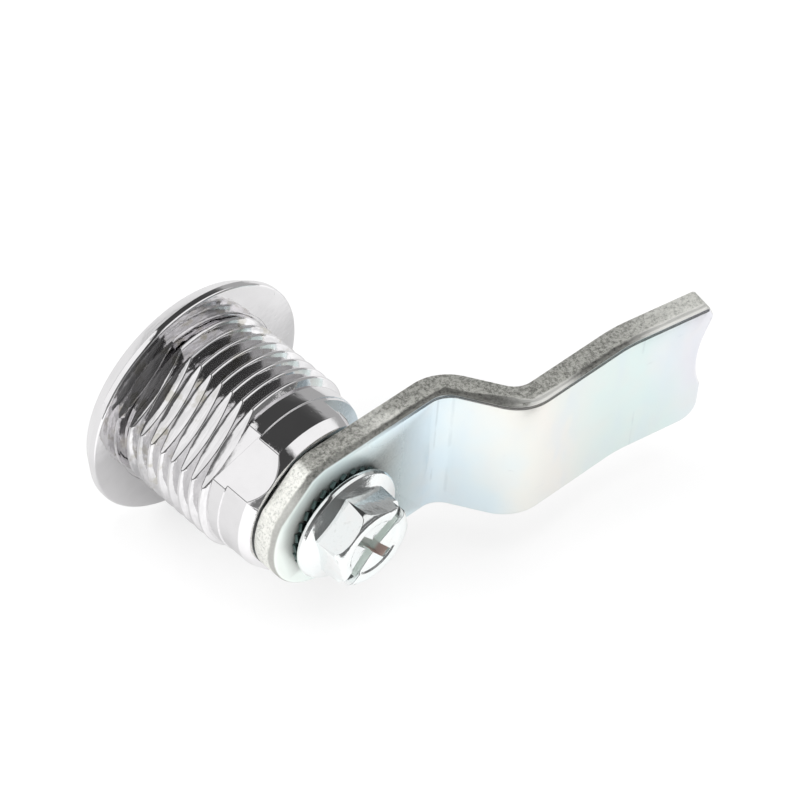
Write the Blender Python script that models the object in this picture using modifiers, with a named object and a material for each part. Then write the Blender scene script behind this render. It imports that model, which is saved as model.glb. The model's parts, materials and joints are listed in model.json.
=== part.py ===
"""Cam lock for a thin metal door: a chromed double-D barrel with a wafer plug, a stop washer and a cranked cam.

The barrel lies along Y. The key face looks towards -Y, the flange seats on the door at y = 0,
the cam is screwed on at +Y and points towards -X. Sizes are in metres, angles in degrees,
counted from +X towards +Z.
"""

import math

import bmesh
import bpy
from mathutils import Matrix, Vector

# Facets
ROUND_STEPS = 64
SMALL_ROUND_STEPS = 40
BEND_STEPS = 6

# Fits
SEAT_GAP = 0.00015
RUNNING_CLEARANCE = 0.0002
STOP_GAP = 0.0003

# Barrel thread and flats
THREAD_CREST_RADIUS = 0.0090
THREAD_DEPTH = 0.0011
THREAD_PITCH = 0.00138
THREAD_CREST_WIDTH = 0.00028
THREAD_VALLEY_WIDTH = 0.00008
THREAD_LENGTH = 0.0109
THREAD_FIRST_CREST_Y = 0.00064
FLAT_DEPTH = 0.00105
FLATS_ANGLE = 45.0

# Plain collar, neck and stop lug behind the thread
COLLAR_STEP = 0.00053
COLLAR_LENGTH = 0.00155
NECK_STEP = 0.00012
NECK_LENGTH = 0.0004
LUG_LENGTH = 0.0033
LUG_SWEEP = 180.0
LUG_ANGLE = 25.0
LUG_TAPER = 0.0004
LUG_TAPER_LENGTH = 0.00115
LUG_WALL = 0.00105

# Flange
FLANGE_RADIUS = 0.0123
FLANGE_THICKNESS = 0.0021
FLANGE_EDGE_RADIUS = 0.0002
FLANGE_BAND = 0.00065
FLANGE_FRONT_BEVEL = 0.0009
SEAT_RELIEF = 0.0001
RIB_ANGLE = 142.0
RIB_SETBACK = 0.0005
RIB_HEIGHT = 0.0014
RIB_THICKNESS = 0.0005

# Plug
PLUG_RADIUS = 0.0055
PLUG_HEAD_RADIUS = 0.0069
PLUG_HEAD_THICKNESS = 0.0014
PLUG_HEAD_DEPTH = 0.0002
SHOULDER_SETBACK = 0.00145
TAIL_RADIUS = 0.0043
TAIL_ACROSS_FLATS = 0.0066
TAIL_SHORT_OF_CAM = 0.0004
KEYWAY_WIDTH = 0.0021
KEYWAY_HEIGHT = 0.0070
KEYWAY_LENGTH = 0.0126
COUNTERBORE_SETBACK = 0.0007

# Wafers and their springs
WAFER_COUNT = 6
WAFER_FIRST_Y = 0.0014
WAFER_PITCH = 0.00165
WAFER_THICKNESS = 0.0010
WAFER_WIDTH = 0.0050
WAFER_TRAVEL = 0.0007
WAFER_SHORT_OF_PLUG = 0.00015
WINDOW_WIDTH = 0.0025
WINDOW_HEIGHT = 0.0062
WINDOW_STEP = 0.0003
KEY_CODE = (1, 3, 2, 0, 3, 1)
EAR_WIDTH = 0.00135
EAR_HEIGHT = 0.0009
EAR_Z = 0.00015
POCKET_DEPTH = 0.0030
GROOVE_START_Y = 0.0005
SPRING_RADIUS = 0.0004
WIRE_RADIUS = 0.0001
SPRING_TURNS = 3.5

# Retaining wafer
RETAINER_GAP = 0.0003
RETAINER_STAND_OUT = 0.0012
RETAINER_TRAVEL = 0.0011

# Stop washer
STOP_WASHER_CLEARANCE = 0.0004
STOP_WASHER_THICKNESS = 0.0013
STOP_TAB_SETBACK = 0.00025
PLUG_TURN = 90.0
STOP_TAB_ANGLE = 250.0

# Cam
CAM_THICKNESS = 0.0026
CAM_WIDTH = 0.01466
HUB_BULGE = 0.00022
HUB_FACET_DEPTH = 0.0004
HUB_FACET_ANGLE = 45.0
CRANK_START = 0.0133
CRANK_RUN = 0.0042
CRANK_OFFSET = 0.0067
BEND_RADIUS = 0.0016
LIP_BEND_RADIUS = 0.0160
LIP_START = 0.0300
LIP_ANGLE = 9.5
CAM_REACH = 0.0392
TIP_HOLLOW_WIDTH = 0.0080
TIP_HOLLOW_DEPTH = 0.00088
TIP_HOLLOW_CENTRE = 0.0009
TIP_NOSE = 0.00035
TIP_NOSE_DROP = 0.0014
TIP_CORNER_RADIUS = 0.0020

# Toothed lock washer
TOOTH_COUNT = 28
TOOTHED_SETBACK = 0.00025
TOOTH_LENGTH = 0.00085
TOOTHED_BORE_CLEARANCE = 0.00025
TOOTHED_THICKNESS = 0.0004
TOOTH_WIDTH = 0.0008
TOOTH_TWIST = 20.0
TOOTHED_HEIGHT = 0.00066

# Cam screw
SCREW_SHANK_RADIUS = 0.00245
SCREW_LENGTH = 0.0062
SCREW_TIP_CHAMFER = 0.0004
SCREW_FLANGE_RADIUS = 0.0058
SCREW_FLANGE_THICKNESS = 0.00065
SCREW_FLANGE_CONE = 0.0005
HEX_ACROSS_FLATS = 0.0080
HEX_ANGLE = 18.0
HEAD_HEIGHT = 0.0041
HEAD_TOP_RADIUS = 0.0036
HEAD_TOP_ROUND = 0.0009
HEAD_DISH = 0.0004
DRIVE_SLOT_WIDTH = 0.0014
DRIVE_SLOT_DEPTH = 0.0010
DRIVE_SLOT_ANGLE = -40.0
CROSS_WIDTH = 0.0010
CROSS_LENGTH = 0.0054
CROSS_DEPTH = 0.0021

# What follows from the sizes above
THREAD_ROOT_RADIUS = THREAD_CREST_RADIUS - THREAD_DEPTH
SEAT_RADIUS = THREAD_CREST_RADIUS + RUNNING_CLEARANCE
ACROSS_FLATS = 2 * (THREAD_CREST_RADIUS - FLAT_DEPTH)
COLLAR_RADIUS = THREAD_CREST_RADIUS - COLLAR_STEP
NECK_RADIUS = COLLAR_RADIUS - NECK_STEP
COLLAR_END_Y = THREAD_LENGTH + COLLAR_LENGTH
NECK_END_Y = COLLAR_END_Y + NECK_LENGTH
LUG_END_Y = NECK_END_Y + LUG_LENGTH
FLANGE_FRONT_RADIUS = FLANGE_RADIUS - FLANGE_FRONT_BEVEL
RIB_REACH = FLANGE_RADIUS - RIB_SETBACK
COUNTERBORE_RADIUS = NECK_RADIUS - LUG_WALL
COUNTERBORE_Y = THREAD_LENGTH + COUNTERBORE_SETBACK
SHOULDER_Y = LUG_END_Y - SHOULDER_SETBACK
BORE_RADIUS = PLUG_RADIUS + RUNNING_CLEARANCE
HEAD_FRONT_Y = -FLANGE_THICKNESS + PLUG_HEAD_DEPTH
HEAD_BACK_Y = HEAD_FRONT_Y + PLUG_HEAD_THICKNESS
RECESS_FLOOR_Y = HEAD_BACK_Y + RUNNING_CLEARANCE
RECESS_RADIUS = PLUG_HEAD_RADIUS + RUNNING_CLEARANCE
STOP_WASHER_Y = SHOULDER_Y + SEAT_GAP
STOP_WASHER_RADIUS = COUNTERBORE_RADIUS - STOP_WASHER_CLEARANCE
STOP_TAB_RADIUS = NECK_RADIUS - STOP_TAB_SETBACK
CAM_BACK_Y = STOP_WASHER_Y + STOP_WASHER_THICKNESS + SEAT_GAP
CAM_FACE_Y = CAM_BACK_Y + CAM_THICKNESS
HUB_RADIUS = CAM_WIDTH / 2 + HUB_BULGE
HUB_FACET_DISTANCE = HUB_RADIUS - HUB_FACET_DEPTH
TAIL_END_Y = CAM_FACE_Y - TAIL_SHORT_OF_CAM
TOOTHED_Y = CAM_FACE_Y + SEAT_GAP
SCREW_SEAT_Y = TOOTHED_Y + TOOTHED_HEIGHT + SEAT_GAP
SCREW_TIP_Y = SCREW_SEAT_Y - SCREW_LENGTH
TOOTHED_OUTER_RADIUS = SCREW_FLANGE_RADIUS - TOOTHED_SETBACK
TOOTHED_RIM_RADIUS = TOOTHED_OUTER_RADIUS - TOOTH_LENGTH
TOOTHED_BORE_RADIUS = SCREW_SHANK_RADIUS + TOOTHED_BORE_CLEARANCE
HEAD_TOP_Y = SCREW_SEAT_Y + HEAD_HEIGHT
TAPPED_RADIUS = SCREW_SHANK_RADIUS + SEAT_GAP
TAPPED_FLOOR_Y = SCREW_TIP_Y - STOP_GAP
WAFER_END_RADIUS = PLUG_RADIUS - WAFER_SHORT_OF_PLUG
GROOVE_RADIUS = WAFER_END_RADIUS + WAFER_TRAVEL + STOP_GAP
SLOT_THICKNESS = WAFER_THICKNESS + 2 * SEAT_GAP
SLOT_WIDTH = WAFER_WIDTH + 2 * SEAT_GAP
EAR_X = WAFER_WIDTH / 2 + EAR_WIDTH
SPRING_X = WAFER_WIDTH / 2 + SEAT_GAP + SPRING_RADIUS + 2.5 * WIRE_RADIUS
RETAINER_Y = COUNTERBORE_Y + RETAINER_GAP + WAFER_THICKNESS / 2

PARTS = "cam_lock"
CUTTERS = "cam_lock_cutters"


def clear_scene():
    """Removes what is in the file and makes the two collections."""
    for obj in list(bpy.data.objects):
        bpy.data.objects.remove(obj, do_unlink=True)
    for name in (PARTS, CUTTERS):
        collection = bpy.data.collections.new(name)
        bpy.context.scene.collection.children.link(collection)


def place(name, mesh, collection=CUTTERS, location=(0, 0, 0), rotation=(0, 0, 0)):
    """A mesh object in one of the two collections."""
    obj = bpy.data.objects.new(name, mesh)
    bpy.data.collections[collection].objects.link(obj)
    obj.location = location
    obj.rotation_euler = rotation
    if collection == CUTTERS:
        obj.hide_render = True
        obj.display_type = "WIRE"
    return obj


def polar(radius, angle):
    """The point at a radius and an angle in degrees."""
    return radius * math.cos(math.radians(angle)), radius * math.sin(math.radians(angle))


def arc(centre, radius, start, end, steps):
    """Points along an arc, both ends included."""
    turns = [start + (end - start) * i / steps for i in range(steps + 1)]
    return [(centre[0] + polar(radius, a)[0], centre[1] + polar(radius, a)[1]) for a in turns]


def turned(name, profile, closed=False, steps=ROUND_STEPS, collection=CUTTERS):
    """A body of revolution about Y, from (radius, y) points that run down its outer side."""
    mesh = bpy.data.meshes.new(name)
    edges = [(i, i + 1) for i in range(len(profile) - 1)]
    if closed:
        edges.append((len(profile) - 1, 0))
    mesh.from_pydata([(r, y, 0) for r, y in profile], edges, [])
    obj = place(name, mesh, collection)
    screw = obj.modifiers.new("turn", "SCREW")
    screw.axis = "Y"
    screw.steps = screw.render_steps = steps
    screw.use_merge_vertices = True
    screw.merge_threshold = 1e-7
    return obj


def plate(name, loops, thickness, collection=CUTTERS, location=(0, 0, 0), rotation=(math.pi / 2, 0, 0)):
    """A flat outline with its holes, as a filled curve turned into a mesh. It faces Y unless told otherwise."""
    curve = bpy.data.curves.new(name, "CURVE")
    curve.dimensions = "2D"
    curve.fill_mode = "BOTH"
    curve.extrude = thickness / 2
    for loop in loops:
        spline = curve.splines.new("POLY")
        spline.points.add(len(loop) - 1)
        spline.use_cyclic_u = True
        for point, (x, y) in zip(spline.points, loop):
            point.co = (x, y, 0, 1)
    return meshed(name, curve, collection, location, rotation)


def meshed(name, curve, collection, location, rotation=(0, 0, 0)):
    """A curve's solid as a closed mesh object."""
    source = bpy.data.objects.new(name, curve)
    bpy.context.scene.collection.objects.link(source)
    mesh = bpy.data.meshes.new_from_object(source.evaluated_get(bpy.context.evaluated_depsgraph_get()))
    bpy.data.objects.remove(source)
    mesh.name = name
    clean(mesh, 1e-7)
    return place(name, mesh, collection, location, rotation)


def clean(mesh, distance):
    """Welds a mesh and points its faces outwards."""
    work = bmesh.new()
    work.from_mesh(mesh)
    bmesh.ops.remove_doubles(work, verts=work.verts, dist=distance)
    bmesh.ops.recalc_face_normals(work, faces=work.faces)
    work.to_mesh(mesh)
    work.free()


def boxes(name, items):
    """Boxes in one mesh, each given by its low and high corners and its turn about Y in degrees."""
    work = bmesh.new()
    for low, high, angle in items:
        size = [b - a for a, b in zip(low, high)]
        middle = [(a + b) / 2 for a, b in zip(low, high)]
        matrix = Matrix.Rotation(-math.radians(angle), 4, "Y") @ Matrix.Translation(middle)
        bmesh.ops.create_cube(work, size=1.0, matrix=matrix @ Matrix.Diagonal((*size, 1.0)))
    mesh = bpy.data.meshes.new(name)
    work.to_mesh(mesh)
    work.free()
    return place(name, mesh)


def join(obj, other, operation):
    """Adds a Boolean with another object."""
    boolean = obj.modifiers.new(other.name, "BOOLEAN")
    boolean.operation = operation
    boolean.solver = "EXACT"
    boolean.object = other


def finish(obj, colour, roughness, metallic=1.0):
    """Applies the modifiers, shades the round faces smooth and gives the piece its material."""
    graph = bpy.context.evaluated_depsgraph_get()
    mesh = bpy.data.meshes.new_from_object(obj.evaluated_get(graph))
    mesh.name = obj.name
    obj.modifiers.clear()
    obj.data = mesh
    mesh.shade_smooth()
    mesh.set_sharp_from_angle(angle=math.radians(30))
    material = bpy.data.materials.new(obj.name)
    material.use_nodes = True
    shader = material.node_tree.nodes["Principled BSDF"]
    shader.inputs["Base Color"].default_value = (*colour, 1.0)
    shader.inputs["Roughness"].default_value = roughness
    shader.inputs["Metallic"].default_value = metallic
    material.diffuse_color = (*colour, 1.0)
    mesh.materials.clear()
    mesh.materials.append(material)
    return obj


def double_d(radius, across_flats, steps=12):
    """A round outline with two flats that face +Z and -Z."""
    half = math.degrees(math.asin(across_flats / 2 / radius))
    right = arc((0, 0), radius, -half, half, steps)
    return right + [(-x, -y) for x, y in right]


# Barrel housing


def barrel_profile():
    """The barrel and flange in section: down the outside, then back up the recess, bore and counterbore."""
    edge = FLANGE_RADIUS - FLANGE_EDGE_RADIUS
    outside = [
        (NECK_RADIUS - LUG_TAPER, LUG_END_Y),
        (NECK_RADIUS, LUG_END_Y - LUG_TAPER_LENGTH),
        (NECK_RADIUS, COLLAR_END_Y),
        (COLLAR_RADIUS, COLLAR_END_Y),
        (COLLAR_RADIUS, THREAD_LENGTH - THREAD_VALLEY_WIDTH),
        (THREAD_ROOT_RADIUS, THREAD_LENGTH - THREAD_VALLEY_WIDTH),
        (THREAD_ROOT_RADIUS, -SEAT_RELIEF),
        (SEAT_RADIUS, -SEAT_RELIEF),
        (SEAT_RADIUS, 0),
    ]
    rounded = arc((edge, -FLANGE_EDGE_RADIUS), FLANGE_EDGE_RADIUS, 90, 0, 3)
    band = [(FLANGE_RADIUS, -FLANGE_BAND), (FLANGE_FRONT_RADIUS, -FLANGE_THICKNESS)]
    inside = [
        (RECESS_RADIUS, -FLANGE_THICKNESS),
        (RECESS_RADIUS, RECESS_FLOOR_Y),
        (BORE_RADIUS, RECESS_FLOOR_Y),
        (BORE_RADIUS, COUNTERBORE_Y),
        (COUNTERBORE_RADIUS, COUNTERBORE_Y),
        (COUNTERBORE_RADIUS, LUG_END_Y),
    ]
    return outside + rounded + band + inside


def thread_ridge():
    """One right-hand ridge, wound from inside the flange and cut off square where the collar begins."""
    base = (THREAD_PITCH - THREAD_VALLEY_WIDTH) / 2
    crest = THREAD_CREST_WIDTH / 2
    root = THREAD_ROOT_RADIUS - THREAD_DEPTH / 4
    first = THREAD_FIRST_CREST_Y - THREAD_PITCH * (1 - FLATS_ANGLE / 360)
    turns = math.ceil((THREAD_LENGTH - first) / THREAD_PITCH) + 1
    section = [
        (root, first + base),
        (THREAD_ROOT_RADIUS, first + base),
        (THREAD_CREST_RADIUS, first + crest),
        (THREAD_CREST_RADIUS, first - crest),
        (THREAD_ROOT_RADIUS, first - base),
        (root, first - base),
    ]
    ridge = turned("thread_ridge", section, closed=True)
    wind = ridge.modifiers["turn"]
    wind.use_merge_vertices = False
    wind.screw_offset = THREAD_PITCH
    wind.iterations = turns
    graph = bpy.context.evaluated_depsgraph_get()
    mesh = bpy.data.meshes.new_from_object(ridge.evaluated_get(graph))
    ridge.modifiers.clear()
    ridge.data = mesh
    close_ends(mesh)
    reach = 2 * THREAD_CREST_RADIUS
    behind = boxes("thread_end", [((-reach, THREAD_LENGTH, -reach), (reach, 2 * reach, reach), 0)])
    join(ridge, behind, "DIFFERENCE")
    return ridge


def close_ends(mesh):
    """Fills the two open ends of a wound section."""
    work = bmesh.new()
    work.from_mesh(mesh)
    bmesh.ops.remove_doubles(work, verts=work.verts, dist=1e-8)
    bmesh.ops.holes_fill(work, edges=[e for e in work.edges if e.is_boundary], sides=8)
    bmesh.ops.recalc_face_normals(work, faces=work.faces)
    work.to_mesh(mesh)
    work.free()


def flange_rib():
    """The thin gusset in the corner of barrel and flange that keeps the lock from turning in its hole."""
    low = (THREAD_ROOT_RADIUS - THREAD_DEPTH / 4, -FLANGE_BAND, -RIB_THICKNESS / 2)
    high = (RIB_REACH, RIB_HEIGHT, RIB_THICKNESS / 2)
    rib = boxes("flange_rib", [(low, high, 0)])
    for vertex in rib.data.vertices:
        if vertex.co.x > (low[0] + high[0]) / 2:
            vertex.co.y = min(vertex.co.y, 0)
            vertex.co.z *= 0.2
    rib.rotation_euler.y = -math.radians(RIB_ANGLE)
    return rib


def flats_cutter():
    """What is milled away for the two flats of the barrel."""
    out = FLANGE_RADIUS
    side = ((ACROSS_FLATS / 2, 0, -out), (out, LUG_END_Y + out, out))
    return boxes("flats", [(*side, FLATS_ANGLE), (*side, FLATS_ANGLE + 180)])


def lug_cutter():
    """What is milled away behind the neck, so that the stop lug is left."""
    out = FLANGE_RADIUS
    side = ((0, NECK_END_Y, -out), (out, LUG_END_Y + out, out))
    spare = (180 - LUG_SWEEP) / 2
    turns = sorted({LUG_ANGLE + 180 - spare, LUG_ANGLE + 180 + spare})
    return boxes("lug_gap", [(*side, turn) for turn in turns])


def groove_cutter():
    """The two broached grooves that take the wafers at either end of the plug's turn."""
    half = WAFER_WIDTH / 2 + STOP_GAP
    groove = ((0, GROOVE_START_Y, -half), (GROOVE_RADIUS, COUNTERBORE_Y + STOP_GAP, half))
    return boxes("wafer_grooves", [(*groove, 90), (*groove, 90 - PLUG_TURN)])


def barrel_housing():
    """The die-cast barrel with its flange, thread, flats, stop lug, rib and wafer grooves."""
    housing = turned("barrel_housing", barrel_profile(), closed=True, collection=PARTS)
    join(housing, thread_ridge(), "UNION")
    join(housing, flats_cutter(), "DIFFERENCE")
    join(housing, lug_cutter(), "DIFFERENCE")
    join(housing, groove_cutter(), "DIFFERENCE")
    join(housing, flange_rib(), "UNION")
    return finish(housing, (0.86, 0.86, 0.88), 0.07)


# Plug, wafers and springs


def plug_profile():
    """The plug in section, from the tapped hole's floor out over the tail and down to the key face."""
    return [
        (0, TAPPED_FLOOR_Y),
        (TAPPED_RADIUS, TAPPED_FLOOR_Y),
        (TAPPED_RADIUS, TAIL_END_Y),
        (TAIL_RADIUS, TAIL_END_Y),
        (TAIL_RADIUS, SHOULDER_Y),
        (PLUG_RADIUS, SHOULDER_Y),
        (PLUG_RADIUS, HEAD_BACK_Y),
        (PLUG_HEAD_RADIUS, HEAD_BACK_Y),
        (PLUG_HEAD_RADIUS, HEAD_FRONT_Y),
        (0, HEAD_FRONT_Y),
    ]


def slot_boxes(y, side):
    """A wafer's slot through the plug, and the pocket beside it for the ear and the spring."""
    low_y, high_y = y - SLOT_THICKNESS / 2, y + SLOT_THICKNESS / 2
    reach = PLUG_RADIUS + STOP_GAP
    half = SLOT_WIDTH / 2
    ear_top = EAR_Z + EAR_HEIGHT + travel_of(side) + STOP_GAP
    pocket = sorted((-side * POCKET_DEPTH, side * ear_top))
    inner = half - SEAT_GAP
    return [
        ((-half, low_y, -reach), (half, high_y, reach), 0),
        ((inner, low_y, pocket[0]), (EAR_X + SEAT_GAP, high_y, pocket[1]), 0),
    ]


def travel_of(side):
    """How far a wafer slides: the code wafers outwards at the top, the retaining wafer inwards."""
    return WAFER_TRAVEL if side > 0 else 0


def wafer_places():
    """The middle of each wafer along the plug."""
    return [WAFER_FIRST_Y + WAFER_PITCH * i for i in range(WAFER_COUNT)]


def plug():
    """The plug with its keyway, wafer slots, spring pockets, double-D tail and tapped hole."""
    body = turned("plug", plug_profile(), collection=PARTS)
    for i, y in enumerate(wafer_places()):
        slot, pocket = slot_boxes(y, 1)
        join(body, boxes(f"slot_{i + 1}", [slot]), "DIFFERENCE")
        join(body, boxes(f"pocket_{i + 1}", [pocket]), "DIFFERENCE")
    slot, pocket = slot_boxes(RETAINER_Y, -1)
    join(body, boxes("slot_retainer", [slot]), "DIFFERENCE")
    join(body, boxes("pocket_retainer", [pocket]), "DIFFERENCE")
    half = KEYWAY_WIDTH / 2
    height = KEYWAY_HEIGHT / 2
    end = HEAD_FRONT_Y + KEYWAY_LENGTH
    keyway = boxes("keyway", [((-half, 2 * HEAD_FRONT_Y, -height), (half, end, height), 0)])
    join(body, keyway, "DIFFERENCE")
    flat = ((TAIL_ACROSS_FLATS / 2, SHOULDER_Y, -PLUG_RADIUS), (PLUG_RADIUS, CAM_FACE_Y, PLUG_RADIUS))
    join(body, boxes("tail_flats", [(*flat, 90), (*flat, 270)]), "DIFFERENCE")
    return finish(body, (0.74, 0.75, 0.74), 0.25)


def wafer_outline(top, bottom, side):
    """A wafer's edge: rounded ends at two radii, and the spring's ear on its +X side."""
    half = WAFER_WIDTH / 2
    top_half = math.degrees(math.asin(half / WAFER_END_RADIUS))
    shape = [(half, EAR_Z * side), (EAR_X, EAR_Z * side)]
    shape += [(EAR_X, (EAR_Z + EAR_HEIGHT) * side), (half, (EAR_Z + EAR_HEIGHT) * side)]
    if side < 0:
        shape.reverse()
    crown = arc((0, top - WAFER_END_RADIUS), WAFER_END_RADIUS, 90 - top_half, 90 + top_half, 6)
    foot = arc((0, WAFER_END_RADIUS - bottom), WAFER_END_RADIUS, 270 - top_half, 270 + top_half, 6)
    return shape + crown + foot


def code_wafer(index, y):
    """One of the wafers that the key lifts, with its window at the height of its cut."""
    outline = wafer_outline(WAFER_END_RADIUS, WAFER_END_RADIUS, 1)
    wide, high = WINDOW_WIDTH / 2, WINDOW_HEIGHT / 2
    lift = WINDOW_STEP * (KEY_CODE[index % len(KEY_CODE)] - 1)
    window = [(-wide, lift - high), (wide, lift - high), (wide, lift + high), (-wide, lift + high)]
    wafer = plate(f"wafer_{index + 1}", [outline, window], WAFER_THICKNESS, PARTS, (0, y, 0))
    return finish(wafer, (0.71, 0.56, 0.28), 0.3)


def retaining_wafer():
    """The solid wafer at the rear that stands out behind the bore's shoulder and holds the plug in."""
    top = WAFER_END_RADIUS - RETAINER_TRAVEL
    outline = wafer_outline(top, WAFER_END_RADIUS + RETAINER_STAND_OUT, -1)
    wafer = plate("retaining_wafer", [outline], WAFER_THICKNESS, PARTS, (0, RETAINER_Y, 0))
    return finish(wafer, (0.71, 0.56, 0.28), 0.3)


def spring(name, y, low, high):
    """A small compression spring in its pocket, wound about Z between two heights."""
    count = round(SPRING_TURNS * 8)
    run = high - low - 2 * WIRE_RADIUS
    curve = bpy.data.curves.new(name, "CURVE")
    curve.dimensions = "3D"
    curve.bevel_depth = WIRE_RADIUS
    curve.bevel_resolution = 1
    curve.use_fill_caps = True
    spline = curve.splines.new("POLY")
    spline.points.add(count)
    for i, point in enumerate(spline.points):
        x, across = polar(SPRING_RADIUS, 45 * i)
        point.co = (x, across, low + WIRE_RADIUS + run * i / count, 1)
    coil = meshed(name, curve, PARTS, (SPRING_X, y, 0))
    return finish(coil, (0.72, 0.72, 0.70), 0.3)


def wafer_springs():
    """A spring under each ear of the code wafers, and one above the ear of the retaining wafer."""
    gap = SEAT_GAP
    floor, ear = -POCKET_DEPTH + gap, EAR_Z - gap
    springs = [spring(f"wafer_spring_{i + 1}", y, floor, ear) for i, y in enumerate(wafer_places())]
    springs.append(spring("retaining_spring", RETAINER_Y, -ear, -floor))
    return springs


# Stop washer, cam, toothed washer and screw


def tail_hole():
    """The double-D hole that fits the plug's tail."""
    return double_d(TAIL_RADIUS + SEAT_GAP, TAIL_ACROSS_FLATS + 2 * SEAT_GAP)


def stop_washer():
    """The washer that turns with the plug, its tab running from one end of the lug to the other."""
    slack = math.degrees(STOP_GAP / STOP_TAB_RADIUS)
    half = (360 - LUG_SWEEP - PLUG_TURN) / 2 - slack
    tab = arc((0, 0), STOP_TAB_RADIUS, STOP_TAB_ANGLE - half, STOP_TAB_ANGLE + half, 12)
    disc = arc((0, 0), STOP_WASHER_RADIUS, STOP_TAB_ANGLE + half, STOP_TAB_ANGLE - half + 360, 40)
    middle = STOP_WASHER_Y + STOP_WASHER_THICKNESS / 2
    washer = plate("stop_washer", [tab + disc, tail_hole()], STOP_WASHER_THICKNESS, PARTS, (0, middle, 0))
    return finish(washer, (0.72, 0.73, 0.72), 0.3)


def bent_strip(corners, thickness, radii):
    """The edge of a strip of sheet folded at its corners, its bends concentric arcs."""
    left, right = [], []
    path = [Vector(p) for p in corners]
    for i, point in enumerate(path):
        before = (point - path[i - 1]).normalized() if i else None
        after = (path[i + 1] - point).normalized() if i + 1 < len(path) else None
        if before is None or after is None:
            along = after or before
            normal = Vector((-along.y, along.x))
            left.append(point + normal * thickness / 2)
            right.append(point - normal * thickness / 2)
            continue
        middle = radii[i - 1] + thickness / 2
        turn = before.angle_signed(after, 0) * -1
        hand = math.copysign(1, turn)
        centre = point - before * middle * math.tan(abs(turn) / 2)
        centre += Vector((-before.y, before.x)) * hand * middle
        for k in range(BEND_STEPS + 1):
            out = Vector((before.y, -before.x)) * hand
            out.rotate(Matrix.Rotation(turn * k / BEND_STEPS, 2))
            left.append(centre + out * (middle - hand * thickness / 2))
            right.append(centre + out * (middle + hand * thickness / 2))
    return [tuple(p) for p in left] + [tuple(p) for p in reversed(right)]


def cam_side():
    """The cam from above: flat hub, steep crank towards the rear, outer arm and slightly lifted lip."""
    mid = CAM_BACK_Y + CAM_THICKNESS / 2
    outer = mid + CRANK_OFFSET
    past = CAM_REACH + 2 * CAM_THICKNESS
    lift = (past - LIP_START) * math.tan(math.radians(LIP_ANGLE))
    corners = [(HUB_RADIUS + CAM_THICKNESS, mid), (-CRANK_START, mid), (-CRANK_START - CRANK_RUN, outer)]
    corners += [(-LIP_START, outer), (-past, outer + lift)]
    strip = bent_strip(corners, CAM_THICKNESS, (BEND_RADIUS, BEND_RADIUS, LIP_BEND_RADIUS))
    return plate("cam_side", [strip], 2 * CAM_WIDTH, rotation=(0, 0, 0))


def hub_outline():
    """The cam seen along the barrel: a rounded hub with one cut corner, and an arm left long."""
    half = CAM_WIDTH / 2
    side = math.degrees(math.asin(half / HUB_RADIUS))
    facet = math.degrees(math.acos(HUB_FACET_DISTANCE / HUB_RADIUS))
    hub = arc((0, 0), HUB_RADIUS, -side, HUB_FACET_ANGLE - facet, 16)
    hub += arc((0, 0), HUB_RADIUS, HUB_FACET_ANGLE + facet, side, 4)
    return hub + [(-2 * CAM_REACH, half), (-2 * CAM_REACH, -half)]


def tip_outline():
    """The tip in the plane of the lip, from its bend outwards: a nose, a hollow and a round corner."""
    half = CAM_WIDTH / 2
    slope = math.radians(LIP_ANGLE)
    reach = (CAM_REACH - LIP_START) / math.cos(slope) + CAM_THICKNESS / 2 * math.tan(slope)
    chord = TIP_HOLLOW_WIDTH / 2
    radius = (chord**2 + TIP_HOLLOW_DEPTH**2) / (2 * TIP_HOLLOW_DEPTH)
    spread = math.degrees(math.asin(chord / radius))
    hollow = arc((-reach - radius + TIP_HOLLOW_DEPTH, TIP_HOLLOW_CENTRE), radius, spread, -spread, 10)
    steep = 2 * TIP_NOSE / TIP_NOSE_DROP
    nose = [(-reach + TIP_NOSE + half * steep, 2 * half), (-reach - TIP_NOSE, half - TIP_NOSE_DROP)]
    corner = arc((-reach + TIP_CORNER_RADIUS, -half + TIP_CORNER_RADIUS), TIP_CORNER_RADIUS, 180, 270, 6)
    outside = [(corner[-1][0], -2 * half), (2 * CAM_REACH, -2 * half), (2 * CAM_REACH, 2 * half)]
    return nose + hollow + corner + outside


def cam():
    """The cranked cam, folded from its blank, so that the tip is cut square to the lip."""
    piece = cam_side()
    bpy.data.collections[CUTTERS].objects.unlink(piece)
    bpy.data.collections[PARTS].objects.link(piece)
    piece.name = "cam"
    piece.hide_render = False
    piece.display_type = "TEXTURED"
    depth = 4 * (CRANK_OFFSET + CAM_THICKNESS)
    hub = plate("cam_hub", [hub_outline(), tail_hole()], depth, location=(0, CAM_FACE_Y, 0))
    join(piece, hub, "INTERSECT")
    bend = (-LIP_START, CAM_BACK_Y + CAM_THICKNESS / 2 + CRANK_OFFSET, 0)
    turn = (math.pi / 2, 0, -math.radians(LIP_ANGLE))
    tip = plate("cam_tip", [tip_outline()], depth, location=bend, rotation=turn)
    join(piece, tip, "INTERSECT")
    return finish(piece, (0.78, 0.85, 0.86), 0.22)


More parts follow.
